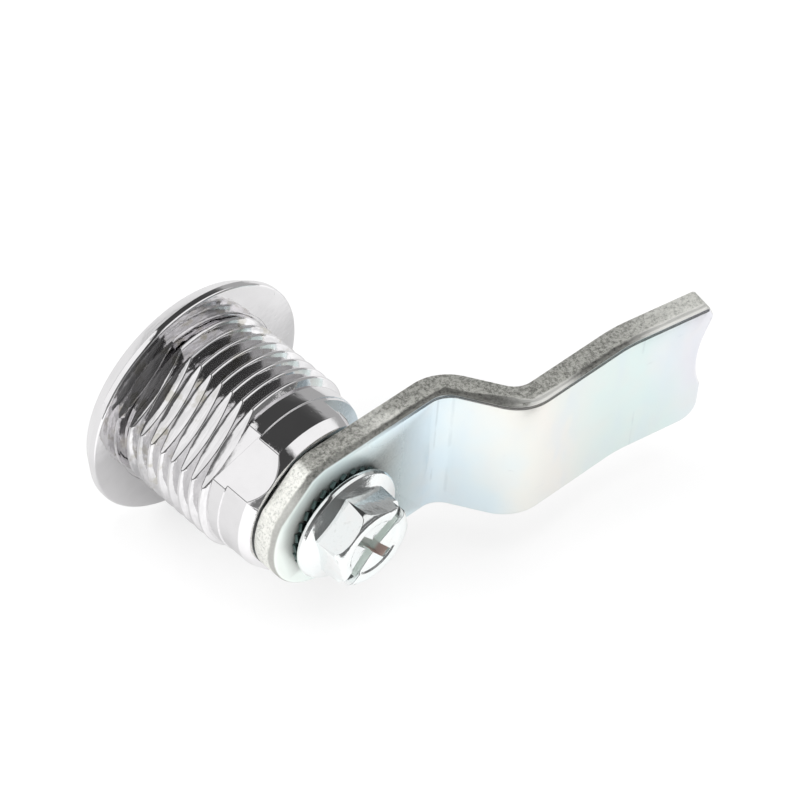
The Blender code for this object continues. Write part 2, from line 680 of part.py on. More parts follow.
def toothed_washer():
    """The lock washer between cam and screw, with twisted teeth round its edge."""
    low = TOOTHED_Y + (TOOTHED_HEIGHT - TOOTHED_THICKNESS) / 2
    high = low + TOOTHED_THICKNESS
    rim, bore = TOOTHED_RIM_RADIUS, TOOTHED_BORE_RADIUS
    washer = turned("toothed_washer", [(rim, high), (rim, low), (bore, low), (bore, high)], True, 56, PARTS)
    work = bmesh.new()
    length = TOOTHED_OUTER_RADIUS - rim + TOOTHED_THICKNESS
    size = Matrix.Diagonal((length, TOOTHED_THICKNESS, TOOTH_WIDTH, 1.0))
    for i in range(TOOTH_COUNT):
        turn = Matrix.Rotation(2 * math.pi * i / TOOTH_COUNT, 4, "Y")
        out = Matrix.Translation((TOOTHED_OUTER_RADIUS - length / 2, (low + high) / 2, 0))
        twist = Matrix.Rotation(math.radians(TOOTH_TWIST), 4, "X")
        bmesh.ops.create_cube(work, size=1.0, matrix=turn @ out @ twist @ size)
    mesh = bpy.data.meshes.new("washer_teeth")
    work.to_mesh(mesh)
    work.free()
    join(washer, place("washer_teeth", mesh), "UNION")
    return finish(washer, (0.30, 0.36, 0.34), 0.35)


def hex_head():
    """The hexagon with its corners turned away towards the top."""
    corner = HEX_ACROSS_FLATS / 2 / math.cos(math.pi / 6)
    foot = SCREW_SEAT_Y + SCREW_FLANGE_THICKNESS / 2
    shoulder = SCREW_SEAT_Y + SCREW_FLANGE_THICKNESS + SCREW_FLANGE_CONE
    outline = [polar(corner, HEX_ANGLE + 60 * i) for i in range(6)]
    height = HEAD_TOP_Y + HEAD_TOP_ROUND - foot
    head = plate("hex_head", [outline], height, location=(0, foot + height / 2, 0))
    rounding = arc((HEAD_TOP_RADIUS, HEAD_TOP_Y - HEAD_TOP_ROUND), HEAD_TOP_ROUND, 90, 0, 5)
    profile = [(0, HEAD_TOP_Y - HEAD_DISH)] + rounding + [(corner, shoulder), (corner, SCREW_SEAT_Y)]
    profile.append((0, SCREW_SEAT_Y))
    join(head, turned("head_turning", profile, steps=SMALL_ROUND_STEPS), "INTERSECT")
    return head


def cam_screw():
    """The screw with its flange, hexagon, through slot and cross recess."""
    top = SCREW_SEAT_Y + SCREW_FLANGE_THICKNESS
    edge = SCREW_FLANGE_THICKNESS / 5
    profile = [
        (0, top + SCREW_FLANGE_CONE),
        (HEX_ACROSS_FLATS / 2, top + SCREW_FLANGE_CONE),
        (SCREW_FLANGE_RADIUS - edge, top),
        (SCREW_FLANGE_RADIUS, top - 2 * edge),
        (SCREW_FLANGE_RADIUS, SCREW_SEAT_Y + edge),
        (SCREW_FLANGE_RADIUS - edge, SCREW_SEAT_Y),
        (SCREW_SHANK_RADIUS, SCREW_SEAT_Y),
        (SCREW_SHANK_RADIUS, SCREW_TIP_Y + SCREW_TIP_CHAMFER),
        (SCREW_SHANK_RADIUS - SCREW_TIP_CHAMFER, SCREW_TIP_Y),
        (0, SCREW_TIP_Y),
    ]
    screw = turned("cam_screw", profile, steps=SMALL_ROUND_STEPS, collection=PARTS)
    join(screw, hex_head(), "UNION")
    above = HEAD_TOP_Y + HEAD_HEIGHT
    half = DRIVE_SLOT_WIDTH / 2
    reach = HEX_ACROSS_FLATS
    slot = ((-reach, HEAD_TOP_Y - DRIVE_SLOT_DEPTH, -half), (reach, above, half), DRIVE_SLOT_ANGLE)
    join(screw, boxes("drive_slot", [slot]), "DIFFERENCE")
    half, reach = CROSS_WIDTH / 2, CROSS_LENGTH / 2
    cross = ((-half, HEAD_TOP_Y - CROSS_DEPTH, -reach), (half, above, reach), DRIVE_SLOT_ANGLE)
    join(screw, boxes("drive_cross", [cross]), "DIFFERENCE")
    return finish(screw, (0.80, 0.84, 0.84), 0.12)


def main():
    """Builds the lock, with what turns with the plug hung on an empty on the barrel's axis."""
    clear_scene()
    barrel_housing()
    turning = [plug(), stop_washer(), cam(), toothed_washer(), cam_screw(), retaining_wafer()]
    turning += [code_wafer(i, y) for i, y in enumerate(wafer_places())]
    turning += wafer_springs()
    axis = bpy.data.objects.new("plug_axis", None)
    axis.empty_display_size = PLUG_RADIUS
    bpy.data.collections[PARTS].objects.link(axis)
    for obj in turning:
        obj.parent = axis


main()
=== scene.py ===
"""Looks of the cam lock: chromed barrel, zinc-plated cranked cam, glossy screw and a plain white studio.

Sizes are in millimetres until a piece is finished, when it is scaled to metres. Angles are in degrees,
counted from +X towards +Z. The barrel lies along Y.
"""

import json
import logging
import math
from collections.abc import Callable, Iterator, Sequence
from contextlib import contextmanager
from dataclasses import dataclass
from enum import Enum

import bmesh
import bpy
from mathutils import Matrix, Vector

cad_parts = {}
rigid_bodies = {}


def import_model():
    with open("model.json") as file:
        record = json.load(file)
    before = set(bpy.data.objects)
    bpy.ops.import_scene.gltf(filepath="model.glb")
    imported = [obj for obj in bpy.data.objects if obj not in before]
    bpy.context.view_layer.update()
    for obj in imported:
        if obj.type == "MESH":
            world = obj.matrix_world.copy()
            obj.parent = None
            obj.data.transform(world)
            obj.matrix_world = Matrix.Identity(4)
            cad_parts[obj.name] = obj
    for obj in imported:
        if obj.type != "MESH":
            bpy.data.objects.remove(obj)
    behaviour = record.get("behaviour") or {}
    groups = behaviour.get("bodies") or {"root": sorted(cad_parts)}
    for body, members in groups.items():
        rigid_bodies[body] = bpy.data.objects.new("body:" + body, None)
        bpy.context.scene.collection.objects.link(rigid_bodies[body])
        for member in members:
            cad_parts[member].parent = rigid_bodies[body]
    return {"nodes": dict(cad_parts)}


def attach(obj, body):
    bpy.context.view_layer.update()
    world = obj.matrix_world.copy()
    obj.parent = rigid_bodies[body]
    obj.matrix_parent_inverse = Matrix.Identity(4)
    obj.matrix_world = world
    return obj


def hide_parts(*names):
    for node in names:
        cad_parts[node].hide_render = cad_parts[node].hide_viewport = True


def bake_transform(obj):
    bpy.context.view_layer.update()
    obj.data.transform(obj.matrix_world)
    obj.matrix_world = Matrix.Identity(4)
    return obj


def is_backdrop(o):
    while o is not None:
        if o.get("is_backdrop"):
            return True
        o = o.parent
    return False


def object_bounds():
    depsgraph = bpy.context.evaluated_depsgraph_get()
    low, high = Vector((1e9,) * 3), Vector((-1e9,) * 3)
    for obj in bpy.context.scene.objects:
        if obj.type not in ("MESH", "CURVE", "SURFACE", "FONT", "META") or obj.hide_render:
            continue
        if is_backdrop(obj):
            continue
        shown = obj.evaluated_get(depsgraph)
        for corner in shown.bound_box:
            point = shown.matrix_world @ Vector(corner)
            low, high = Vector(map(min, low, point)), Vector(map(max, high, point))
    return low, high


LOG = logging.getLogger("cam_lock")
Piece = bpy.types.Object
Edge = bmesh.types.BMEdge
Point = tuple[float, float]
Corner = tuple[float, float, float]
Colour = tuple[float, float, float]

MM = 0.001
WAFER_PLACES = (1.4, 3.05, 4.7, 6.35, 8.0, 9.65)
RETAINER_PLACE = 12.4
TAIL_HOLE = (4.45, 6.9)
SCREW_TOP = 23.96
SLOT_ANGLE = -40.0


class Body(Enum):
    """The CAD bodies that the pieces ride on."""

    HOUSING = "housing"
    PLUG = "turning_plug"


class Carve(Enum):
    """What a tool does to the piece it meets."""

    ADD = "UNION"
    CUT = "DIFFERENCE"
    KEEP = "INTERSECT"


class Part(Enum):
    """What is picked in edit mode."""

    VERTS = "VERT"
    EDGES = "EDGE"
    FACES = "FACE"


# Modelling bench


def choose(piece: Piece) -> None:
    """Deselects everything else and makes one piece active.

    Args:
        piece: The object to work on.
    """
    bpy.ops.object.select_all(action="DESELECT")
    piece.select_set(True)
    bpy.context.view_layer.objects.active = piece


@contextmanager
def editing(piece: Piece, outward: bool = False) -> Iterator[Piece]:
    """Opens a piece in edit mode with all of it selected, and closes it afterwards.

    Args:
        piece: The object to edit.
        outward: Whether its normals are turned outwards before it is closed.

    Returns:
        The same object, while it is open.
    """
    choose(piece)
    bpy.ops.object.mode_set(mode="EDIT")
    bpy.ops.mesh.select_mode(type="VERT")
    bpy.ops.mesh.select_all(action="SELECT")
    yield piece
    if outward:
        bpy.ops.mesh.select_all(action="SELECT")
        bpy.ops.mesh.normals_make_consistent(inside=False)
    bpy.ops.object.mode_set(mode="OBJECT")


def pick(piece: Piece, part: Part, test: Callable[..., bool]) -> int:
    """Selects in edit mode only what passes a test of its place or normal.

    Args:
        piece: The object that is open in edit mode.
        part: Whether vertices, edges or faces are picked.
        test: Called with each element.

    Returns:
        How many were picked.
    """
    bpy.ops.mesh.select_mode(type=part.value)
    bpy.ops.mesh.select_all(action="DESELECT")
    shape = bmesh.from_edit_mesh(piece.data)
    found = [item for item in getattr(shape, part.name.lower()) if test(item)]
    for item in found:
        item.select_set(True)
    shape.select_flush_mode()
    bmesh.update_edit_mesh(piece.data)
    return len(found)


def placed(piece: Piece, place: Matrix) -> Piece:
    """Moves, turns and scales a piece and works that into its shape.

    Args:
        piece: The object.
        place: Where it goes.

    Returns:
        The piece.
    """
    choose(piece)
    piece.matrix_world = place
    bpy.ops.object.transform_apply(location=True, rotation=True, scale=True)
    return piece


def drawn(name: str, points: Sequence[Sequence[float]], fill: bool = False) -> Piece:
    """Draws a chain of edges point by point, by extruding one vertex.

    Args:
        name: The piece's name.
        points: Where the chain goes, x, y and z.
        fill: Whether the chain is closed with a face.

    Returns:
        The new object.
    """
    bpy.ops.mesh.primitive_plane_add(size=1.0)
    piece = bpy.context.object
    piece.name = name
    with editing(piece):
        bpy.ops.mesh.merge(type="CENTER")
        bpy.ops.transform.translate(value=points[0])
        for last, point in zip(points, points[1:]):
            step = tuple(b - a for a, b in zip(last, point))
            bpy.ops.mesh.extrude_vertices_move(TRANSFORM_OT_translate={"value": step})
        if fill:
            bpy.ops.mesh.select_all(action="SELECT")
            bpy.ops.mesh.edge_face_add()
    return piece


def lathe(name: str, profile: Sequence[Point], steps: int, ring: bool = False) -> Piece:
    """Turns a profile about the barrel's axis.

    Args:
        name: The piece's name.
        profile: Radius and y of each point.
        steps: Faces in one turn.
        ring: Whether the profile closes on itself.

    Returns:
        The turned solid.
    """
    points = [(r, y, 0.0) for r, y in profile]
    piece = drawn(name, points + points[:1] if ring else points)
    with editing(piece, outward=True):
        bpy.ops.mesh.remove_doubles(threshold=1e-6)
        bpy.ops.mesh.spin(steps=steps, angle=2 * math.pi, center=(0, 0, 0), axis=(0, 1, 0))
        bpy.ops.mesh.select_all(action="SELECT")
        bpy.ops.mesh.remove_doubles(threshold=1e-5)
    return piece


def wind(piece: Piece, axis: str, steps: int, rise: float, turns: float = 1.0, times: int = 1) -> None:
    """Winds a drawn section into a screw.

    Args:
        piece: The section.
        axis: The axis that it winds about.
        steps: Faces along one winding.
        rise: How far one winding climbs.
        turns: Turns in one winding.
        times: How many windings follow each other.
    """
    choose(piece)
    change = piece.modifiers.new("wind", "SCREW")
    change.axis, change.angle, change.screw_offset = axis, 2 * math.pi * turns, rise
    change.steps = change.render_steps = steps
    change.iterations = times
    bpy.ops.object.modifier_apply(modifier=change.name)


def slab(name: str, outline: Sequence[Point], low: float, high: float, upright: bool = False) -> Piece:
    """Raises a flat outline to a thickness.

    Args:
        name: The piece's name.
        outline: x and z of each point, or x and y where upright is set.
        low: Where it starts along Y, or along Z where upright is set.
        high: Where it ends.
        upright: Whether the outline stands in the plane of X and Y.

    Returns:
        The solid.
    """
    points = [(a, b, low) if upright else (a, low, b) for a, b in outline]
    step = (0.0, 0.0, high - low) if upright else (0.0, high - low, 0.0)
    piece = drawn(name, points, True)
    with editing(piece, outward=True):
        bpy.ops.mesh.extrude_region_move(TRANSFORM_OT_translate={"value": step})
    return piece


def block(name: str, low: Sequence[float], high: Sequence[float], turn: float = 0.0) -> Piece:
    """A block between two corners, turned about the barrel's axis.

    Args:
        name: The piece's name.
        low: Lowest corner before the turn.
        high: Highest corner before the turn.
        turn: Degrees from +X towards +Z.

    Returns:
        The block.
    """
    middle = Vector([(a + b) / 2 for a, b in zip(low, high)])
    size = [b - a for a, b in zip(low, high)]
    bpy.ops.mesh.primitive_cube_add(size=1.0)
    piece = bpy.context.object
    piece.name = name
    about = Matrix.Rotation(-math.radians(turn), 4, "Y")
    return placed(piece, about @ Matrix.Translation(middle) @ Matrix.Diagonal((*size, 1.0)))


def joined(name: str, pieces: Sequence[Piece]) -> Piece:
    """Makes several objects one.

    Args:
        name: The name of the result.
        pieces: The objects.

    Returns:
        The joined object.
    """
    choose(pieces[0])
    for piece in pieces[1:]:
        piece.select_set(True)
    bpy.ops.object.join()
    pieces[0].name = name
    return pieces[0]


def carve(piece: Piece, how: Carve, *tools: Piece) -> Piece:
    """Adds, cuts or keeps what each tool covers, and removes the tool.

    Args:
        piece: The solid that is worked.
        how: Which of the three.
        tools: The solids that work it, in their order.

    Returns:
        The worked solid.
    """
    choose(piece)
    for tool in tools:
        change = piece.modifiers.new(tool.name, "BOOLEAN")
        change.operation, change.solver, change.object = how.value, "EXACT", tool
        bpy.ops.object.modifier_apply(modifier=change.name)
        bpy.data.objects.remove(tool, do_unlink=True)
    return piece


def soften(piece: Piece, test: Callable[..., bool], width: float, segments: int) -> None:
    """Rounds the edges that pass a test.

    Args:
        piece: The solid.
        test: Called with each edge that has two faces.
        width: How far back the rounding starts.
        segments: Faces across it.
    """
    with editing(piece):
        if pick(piece, Part.EDGES, lambda edge: len(edge.link_faces) == 2 and test(edge)):
            bpy.ops.mesh.bevel(
                offset=width, offset_type="OFFSET", segments=segments, affect="EDGES", clamp_overlap=False
            )


def sharper(edge: Edge, angle: float) -> bool:
    """Whether an edge turns by more than an angle in degrees."""
    return edge.calc_face_angle(0.0) > math.radians(angle)


def outwards(angle: float) -> Vector:
    """The direction away from the barrel's axis at an angle in degrees."""
    return Vector((math.cos(math.radians(angle)), 0, math.sin(math.radians(angle))))


def arc(centre: Point, radius: float, start: float, end: float, steps: int) -> list[Point]:
    """Points along an arc.

    Args:
        centre: Its centre.
        radius: Its radius.
        start: Angle of the first point.
        end: Angle of the last point.
        steps: Spans between them.

    Returns:
        The points, both ends included.
    """
    turns = [math.radians(start + (end - start) * i / steps) for i in range(steps + 1)]
    return [(centre[0] + radius * math.cos(a), centre[1] + radius * math.sin(a)) for a in turns]


def filleted(corners: Sequence[Corner], ring: bool = False, steps: int = 5) -> list[Point]:
    """Rounds the corners of a chain.

    Args:
        corners: Each corner and the radius of its rounding.
        ring: Whether the chain closes on itself.
        steps: Spans across a rounding.

    Returns:
        The rounded chain.
    """
    made: list[Point] = []
    count = len(corners)
    for i, (x, y, radius) in enumerate(corners):
        here = Vector((x, y))
        back = (Vector(corners[i - 1][:2]) - here).normalized()
        on = (Vector(corners[(i + 1) % count][:2]) - here).normalized()
        end = not ring and i in (0, count - 1)
        half = math.pi / 2 if end or radius <= 0 else back.angle(on) / 2
        if half > math.radians(89):
            made.append((x, y))
            continue
        first, last = here + back * radius / math.tan(half), here + on * radius / math.tan(half)
        centre = here + (back + on).normalized() * radius / math.sin(half)
        for k in range(steps + 1):
            spoke = (first - centre).lerp(last - centre, k / steps)
            made.append(tuple(centre + spoke.normalized() * radius))
    return made


def double_d(radius: float, across: float, steps: int = 16) -> list[Point]:
    """A round outline with two flats that face +Z and -Z.

    Args:
        radius: Of the round sides.
        across: Between the flats.
        steps: Spans on each round side.

    Returns:
        The outline.
    """
    half = math.degrees(math.asin(across / 2 / radius))
    right = arc((0, 0), radius, -half, half, steps)
    return right + [(-x, -z) for x, z in right]


# Shader maths


class Wire:
    """A value in a node tree, on which Python's operators add nodes."""

    def __init__(self, paint: "Paint", socket: bpy.types.NodeSocket) -> None:
        """Keeps the node tree's painter and the socket."""
        self.paint, self.socket = paint, socket

    def _with(self, operation: str, *values: "Wire | float") -> "Wire":
        """Adds one Math node of an operation, with its inputs."""
        return self.paint.wire("ShaderNodeMath", {"operation": operation}, dict(enumerate(values)))

    def __add__(self, other: "Wire | float") -> "Wire":
        """Sum."""
        return self._with("ADD", self, other)

    def __mul__(self, other: "Wire | float") -> "Wire":
        """Product."""
        return self._with("MULTIPLY", self, other)

    __radd__, __rmul__ = __add__, __mul__

    def __sub__(self, other: "Wire | float") -> "Wire":
        """Difference."""
        return self._with("SUBTRACT", self, other)

    def __rsub__(self, other: "Wire | float") -> "Wire":
        """Difference, turned round."""
        return self._with("SUBTRACT", other, self)

    def __truediv__(self, other: "Wire | float") -> "Wire":
        """Quotient."""
        return self._with("DIVIDE", self, other)

    def __abs__(self) -> "Wire":
        """Size without sign."""
        return self._with("ABSOLUTE", self)

    def at_least(self, other: "Wire | float") -> "Wire":
        """The larger of two."""
        return self._with("MAXIMUM", self, other)

    def ramp(self, low: float, high: float) -> "Wire":
        """A smooth step from 0 at low to 1 at high, which may be the smaller.

        Args:
            low: Where the step starts.
            high: Where it ends.

        Returns:
            The step.
        """
        limits = {"Value": self, "From Min": low, "From Max": high, "To Min": 0.0, "To Max": 1.0}
        return self.paint.wire("ShaderNodeMapRange", {"interpolation_type": "SMOOTHSTEP"}, limits, "Result")


class Paint:
    """The node tree of a material or of the world, with one method that makes any node."""

    def __init__(self, name: str, world: bool = False) -> None:
        """Makes the material or the world.

        Args:
            name: Its name.
            world: Whether it is a world.
        """
        self.owner = (bpy.data.worlds if world else bpy.data.materials).new(name)
        self.owner.use_nodes = True
        self.tree = self.owner.node_tree
        self.shader = self.tree.nodes["Background" if world else "Principled BSDF"]
        self._place: Wire | None = None

    def node(self, kind: str, settings: dict | None = None, inputs: dict | None = None) -> bpy.types.Node:
        """Makes a node.

        Args:
            kind: Its type.
            settings: Properties, set first; "stops" sets a ramp's colours.
            inputs: Values or wires by socket name or number.

        Returns:
            The node.
        """
        made = self.tree.nodes.new(kind)
        for key, value in (settings or {}).items():
            if key == "stops":
                while len(made.color_ramp.elements) < len(value):
                    made.color_ramp.elements.new(0.5)
                for stop, (place, colour) in zip(made.color_ramp.elements, value):
                    stop.position, stop.color = place, (*colour, 1.0)
            else:
                setattr(made, key, value)
        for key, value in (inputs or {}).items():
            self.feed(made.inputs[key], value)
        return made

    def wire(self, kind: str, settings: dict | None = None, inputs: dict | None = None,
             out: int | str = 0) -> Wire:
        """Makes a node as node() does and takes one of its outputs, by name or number."""
        return Wire(self, self.node(kind, settings, inputs).outputs[out])

    def feed(self, socket: bpy.types.NodeSocket, value: "Wire | float | Sequence[float]") -> None:
        """Gives a socket a value or a wire.

        Args:
            socket: The input.
            value: What it gets.
        """
        if isinstance(value, Wire):
            self.tree.links.new(value.socket, socket)
        elif socket.type == "RGBA":
            socket.default_value = (*value, 1.0)
        else:
            socket.default_value = value

    @property
    def place(self) -> Wire:
        """The point on the piece in its own frame, in metres."""
        self._place = self._place or self.wire("ShaderNodeTexCoord", out="Object")
        return self._place

    def split(self, place: Wire) -> tuple[Wire, Wire, Wire]:
        """x, y and z of a vector."""
        parts = self.node("ShaderNodeSeparateXYZ", None, {0: place})
        return tuple(Wire(self, out) for out in parts.outputs)

    def axes(self) -> tuple[Wire, Wire, Wire]:
        """x, y and z of the point on the piece, in millimetres."""
        return tuple(axis * (1 / MM) for axis in self.split(self.place))

    def attribute(self, name: str) -> Wire:
        """A value that the piece's mesh carries."""
        return self.wire("ShaderNodeAttribute", {"attribute_name": name}, out="Fac")

    def ray(self, kind: str) -> Wire:
        """1 for one kind of ray and 0 for the others."""
        return self.wire("ShaderNodeLightPath", out=f"Is {kind} Ray")

    def noise(self, size: float, detail: float = 3.0, rough: float = 0.55,
              stretch: Sequence[float] = (1, 1, 1), turn: Sequence[float] = (0, 0, 0)) -> Wire:
        """Cloudy variation from 0 to 1.

        Args:
            size: Size of a cloud in millimetres.
            detail: Octaves.
            rough: How strong the fine ones are.
            stretch: Scale along each axis; a small number draws the clouds out.
            turn: Turn of the pattern in degrees.

        Returns:
            The variation.
        """
        turn = tuple(math.radians(a) for a in turn)
        inputs = {"Vector": self.place, "Rotation": turn, "Scale": stretch}
        place = self.wire("ShaderNodeMapping", None, inputs)
        inputs = {"Vector": place, "Scale": 1 / (size * MM), "Detail": detail, "Roughness": rough}
        return self.wire("ShaderNodeTexNoise", None, inputs, "Fac")

    def cells(self, size: float) -> Wire:
        """Distance to the nearest of scattered points, one to a cell of a size in millimetres, for pits."""
        inputs = {"Vector": self.place, "Scale": 1 / (size * MM)}
        return self.wire("ShaderNodeTexVoronoi", None, inputs, "Distance")

    def mix(self, share: "Wire | float", first: "Wire | Colour", second: "Wire | Colour") -> Wire:
        """Mixes two colours; the share is how much of the second shows."""
        return self.wire("ShaderNodeMix", {"data_type": "RGBA"}, {0: share, 6: first, 7: second}, 2)

    def bands(self, value: Wire, stops: Sequence[tuple[float, Colour]]) -> Wire:
        """Colours along a value from 0 to 1, given as the place and colour of each band."""
        return self.wire("ShaderNodeValToRGB", {"stops": stops}, {0: value}, "Color")

    def relief(self, *layers: tuple[Wire, float]) -> Wire:
        """Stacks bumps.

        Args:
            layers: Each height from 0 to 1 and how many millimetres it stands for.

        Returns:
            The normal.
        """
        below: dict = {}
        for height, depth in layers:
            inputs = {"Height": height, "Distance": depth * MM, "Strength": 1.0, **below}
            below = {"Normal": self.wire("ShaderNodeBump", None, inputs, "Normal")}
        return below["Normal"]

    def glow(self, level: Wire) -> Wire:
        """A shader that gives off white light of a level."""
        grey = self.wire("ShaderNodeCombineColor", None, {0: level, 1: level, 2: level})
        return self.wire("ShaderNodeEmission", None, {"Color": grey, "Strength": 1.0})

    def show(self, shader: Wire) -> None:
        """Makes a shader the material's surface."""
        self.feed(self.tree.nodes["Material Output"].inputs["Surface"], shader)

    def dress(self, **sockets: "Wire | float | Colour") -> bpy.types.Material:
        """Sets the shader's sockets.

        Args:
            sockets: Values or wires, with _ for a space.

        Returns:
            The material or the world.
        """
        for name, value in sockets.items():
            self.feed(self.shader.inputs[name.replace("_", " ").title().replace("Ior", "IOR")], value)
        return self.owner


# Finishes


class Finish:
    """A surface that a piece can be given."""

    def material(self, name: str) -> bpy.types.Material:
        """Makes the finish's material under a name."""
        raise NotImplementedError


@dataclass(frozen=True)
class Chrome(Finish):
    """Bright chrome over a die casting, whose surface still waves and pits a little. Painted shade darkens
    streaks along the thread, most in the corner by the flange, and a painted dark reflection runs along the
    rounded edges of the flats.
    """

    colour: Colour = (0.88, 0.87, 0.88)
    roughness: float = 0.045
    wave: float = 0.010
    pits: float = 0.004

    def material(self, name: str) -> bpy.types.Material:
        """Builds the finish.

        Args:
            name: The material's name.

        Returns:
            The material.
        """
        paint = Paint(name)
        clouds = paint.noise(2.2, 2.0)
        fine = paint.noise(0.5, 3.0)
        pit = paint.cells(0.9).ramp(0.16, 0.05)
        colour = paint.mix(clouds.ramp(0.35, 0.75) * 0.6, self.colour, tuple(c * 0.93 for c in self.colour))
        _, y, _ = paint.axes()
        # Painted shade: dark grey streaks along the thread, strongest in the corner behind the flange, where
        # shade falls.
        streak_shade = paint.noise(0.45, 3.0, 0.7, (0.12, 1, 0.12))
        root = y.ramp(4.2, 1.6) * y.ramp(0.0, 0.05)
        threaded = y.ramp(11.0, 10.6) * y.ramp(0.0, 0.05)
        streak_shade = streak_shade.ramp(0.36, 0.60) * (threaded * 0.22 + root * 0.34)
        colour = paint.mix(streak_shade, colour, (0.36, 0.36, 0.37))
        brown = paint.noise(1.5, 3.0).ramp(0.52, 0.66) * y.ramp(7.0, 5.0) * threaded
        colour = paint.mix(brown * 0.40, colour, (0.42, 0.39, 0.28))
        # Painted reflection: a near-black line along the middle of the flats' rounded edges.
        colour = paint.mix(paint.attribute("rim") * 0.95, colour, (0.03, 0.03, 0.03))
        grit = paint.noise(0.17, 2.0, 0.6)
        return paint.dress(
            base_color=colour,
            metallic=1.0,
            roughness=self.roughness + clouds * 0.03 + pit * 0.10,
            normal=paint.relief((clouds, self.wave * 4), (fine, self.wave * 0.6),
                                (grit, self.wave * 0.18), (1 - pit, self.pits)),
        )


@dataclass(frozen=True)
class CastNickel(Finish):
    """Nickel over a small casting, duller than the chrome, with painted shade darkening the inside of the
    keyway.
    """

    colour: Colour = (0.66, 0.65, 0.62)
    roughness: float = 0.22

    def material(self, name: str) -> bpy.types.Material:
        """Builds the finish.

        Args:
            name: The material's name.

        Returns:
            The material.
        """
        paint = Paint(name)
        clouds = paint.noise(1.4, 3.0)
        grain = paint.noise(0.12, 3.0, 0.7)
        colour = paint.mix(clouds.ramp(0.3, 0.75), self.colour, tuple(c * 0.86 for c in self.colour))
        x, y, z = paint.axes()
        # Painted shade: near-black inside the keyway's recess.
        inside = y.ramp(-1.80, -1.30) * abs(x).ramp(1.12, 1.08) * abs(z).ramp(3.57, 3.53)
        colour = paint.mix(inside, colour, (0.05, 0.05, 0.045))
        return paint.dress(
            base_color=colour,
            metallic=1.0,
            roughness=self.roughness + clouds * 0.12 + inside * 0.25,
            normal=paint.relief((clouds, 0.02), (grain, 0.004)),
        )


@dataclass(frozen=True)
class PassivatedZinc(Finish):
    """Bright zinc with a clear blue passivation on a stamped cam: faint rainbow bands and a torn edge.
    Painted shade lies along the bend creases, and the edges carry painted highlights and a near-black die
    roll of painted reflection.
    """

    roughness: float = 0.13
    start: float = 8.0
    length: float = 48.0
    creases: tuple[float, ...] = (-11.9, -13.1, -31.4)
    tints: tuple[tuple[float, Colour], ...] = (
        (0.02, (0.82, 0.87, 0.83)), (0.16, (0.75, 0.86, 0.85)), (0.30, (0.72, 0.85, 0.88)),
        (0.40, (0.69, 0.81, 0.88)), (0.46, (0.74, 0.83, 0.86)), (0.53, (0.83, 0.83, 0.79)),
        (0.60, (0.85, 0.83, 0.79)), (0.66, (0.79, 0.83, 0.80)), (0.74, (0.74, 0.84, 0.82)),
        (0.84, (0.72, 0.84, 0.83)), (0.91, (0.77, 0.83, 0.85)), (0.98, (0.79, 0.79, 0.84)),
    )

    def material(self, name: str) -> bpy.types.Material:
        """Builds the finish.

        Args:
            name: The material's name.

        Returns:
            The material.
        """
        paint = Paint(name)
        x, _, z = paint.axes()
        drift = (paint.noise(9.0, 2.0) - 0.5) * 0.22 + z * 0.004
        face = paint.bands((self.start - x) / self.length + drift, self.tints)
        sheared, through = paint.attribute("sheared"), paint.attribute("through")
        clouds = paint.noise(3.5, 4.0, 0.6)
        grain = paint.noise(0.16, 4.0, 0.7)
        streaks = paint.noise(0.5, 3.0, 0.7, (0.12, 1, 1), (0, 14, 0))
        scratches = paint.noise(0.35, 2.0, 0.5, (0.03, 1, 1), (0, -32, 0)).ramp(0.70, 0.76)
        face = paint.mix(clouds.ramp(0.42, 0.72) * 0.30, face, (0.80, 0.80, 0.78))
        bluish = paint.noise(4.0, 3.0, 0.6, (1, 1, 0.4)).ramp(0.52, 0.70)
        face = paint.mix(bluish * 0.28, face, (0.68, 0.77, 0.84))
        face = paint.mix(scratches * 0.35, face, (0.55, 0.58, 0.60))
        # Painted shade: darker bluish lines along the bend creases, with shallow grooves in the relief as
        # well.
        first, *others = (abs(x - place).ramp(0.16, 0.02) for place in self.creases)
        for other in others:
            first = first.at_least(other * 0.6)
        lines = first * paint.noise(2.5, 2.0).ramp(0.40, 0.62)
        face = paint.mix(lines * 0.35, face, (0.45, 0.52, 0.56))
        torn = (through + (clouds - 0.5) * 0.30).ramp(0.24, 0.36)
        grit = paint.noise(0.30, 5.0, 0.8)
        edge = paint.mix(grit.ramp(0.34, 0.62), (0.10, 0.10, 0.09), (0.42, 0.42, 0.39))
        # Painted highlights on the torn edge: lighter around x = -6.5, towards the tip and past the hub's
        # end.
        glint = (1 - abs(x + 6.5).ramp(1.0, 4.0)) * clouds.ramp(0.35, 0.55)
        pale = (x.ramp(-28.0, -37.5) * 0.55).at_least(glint * 0.55).at_least(x.ramp(2.4, 3.2))
        lit = paint.mix(grit.ramp(0.30, 0.55), (0.42, 0.43, 0.40), (0.80, 0.80, 0.76))
        edge = paint.mix(pale, edge, lit)
        # Painted reflection and highlights: the die roll is near-black for the dark it reflects, and lighter
        # at the second bend, towards the tip and at the hub's end.
        shine = ((1 - abs(x + 20.0).ramp(1.0, 4.5)) * 0.9).at_least(x.ramp(-29.0, -34.0) * 0.95)
        roll = paint.mix(grit.ramp(0.30, 0.60), (0.05, 0.05, 0.045), (0.20, 0.20, 0.185))
        roll = paint.mix(shine.at_least(x.ramp(3.2, 5.5) * 0.45), roll, (0.70, 0.70, 0.67))
        edge = paint.mix(torn, roll, edge)
        colour = paint.mix(sheared, face, edge)
        rough = self.roughness + clouds * 0.05 + grain * 0.04
        rough = rough + sheared * (0.22 + torn * 0.13) + x.ramp(-6.0, -1.0) * 0.16
        tear = paint.noise(0.45, 5.0, 0.8, (0.6, 1.4, 0.6)) * torn * sheared
        return paint.dress(
            base_color=colour,
            metallic=1 - (sheared * (0.35 + torn * 0.30)).at_least(x.ramp(-11.0, -4.0) * 0.62),
            roughness=rough,
            normal=paint.relief((clouds, 0.02), (streaks, 0.004), (1 - lines, 0.006), (tear, 0.12)),
        )


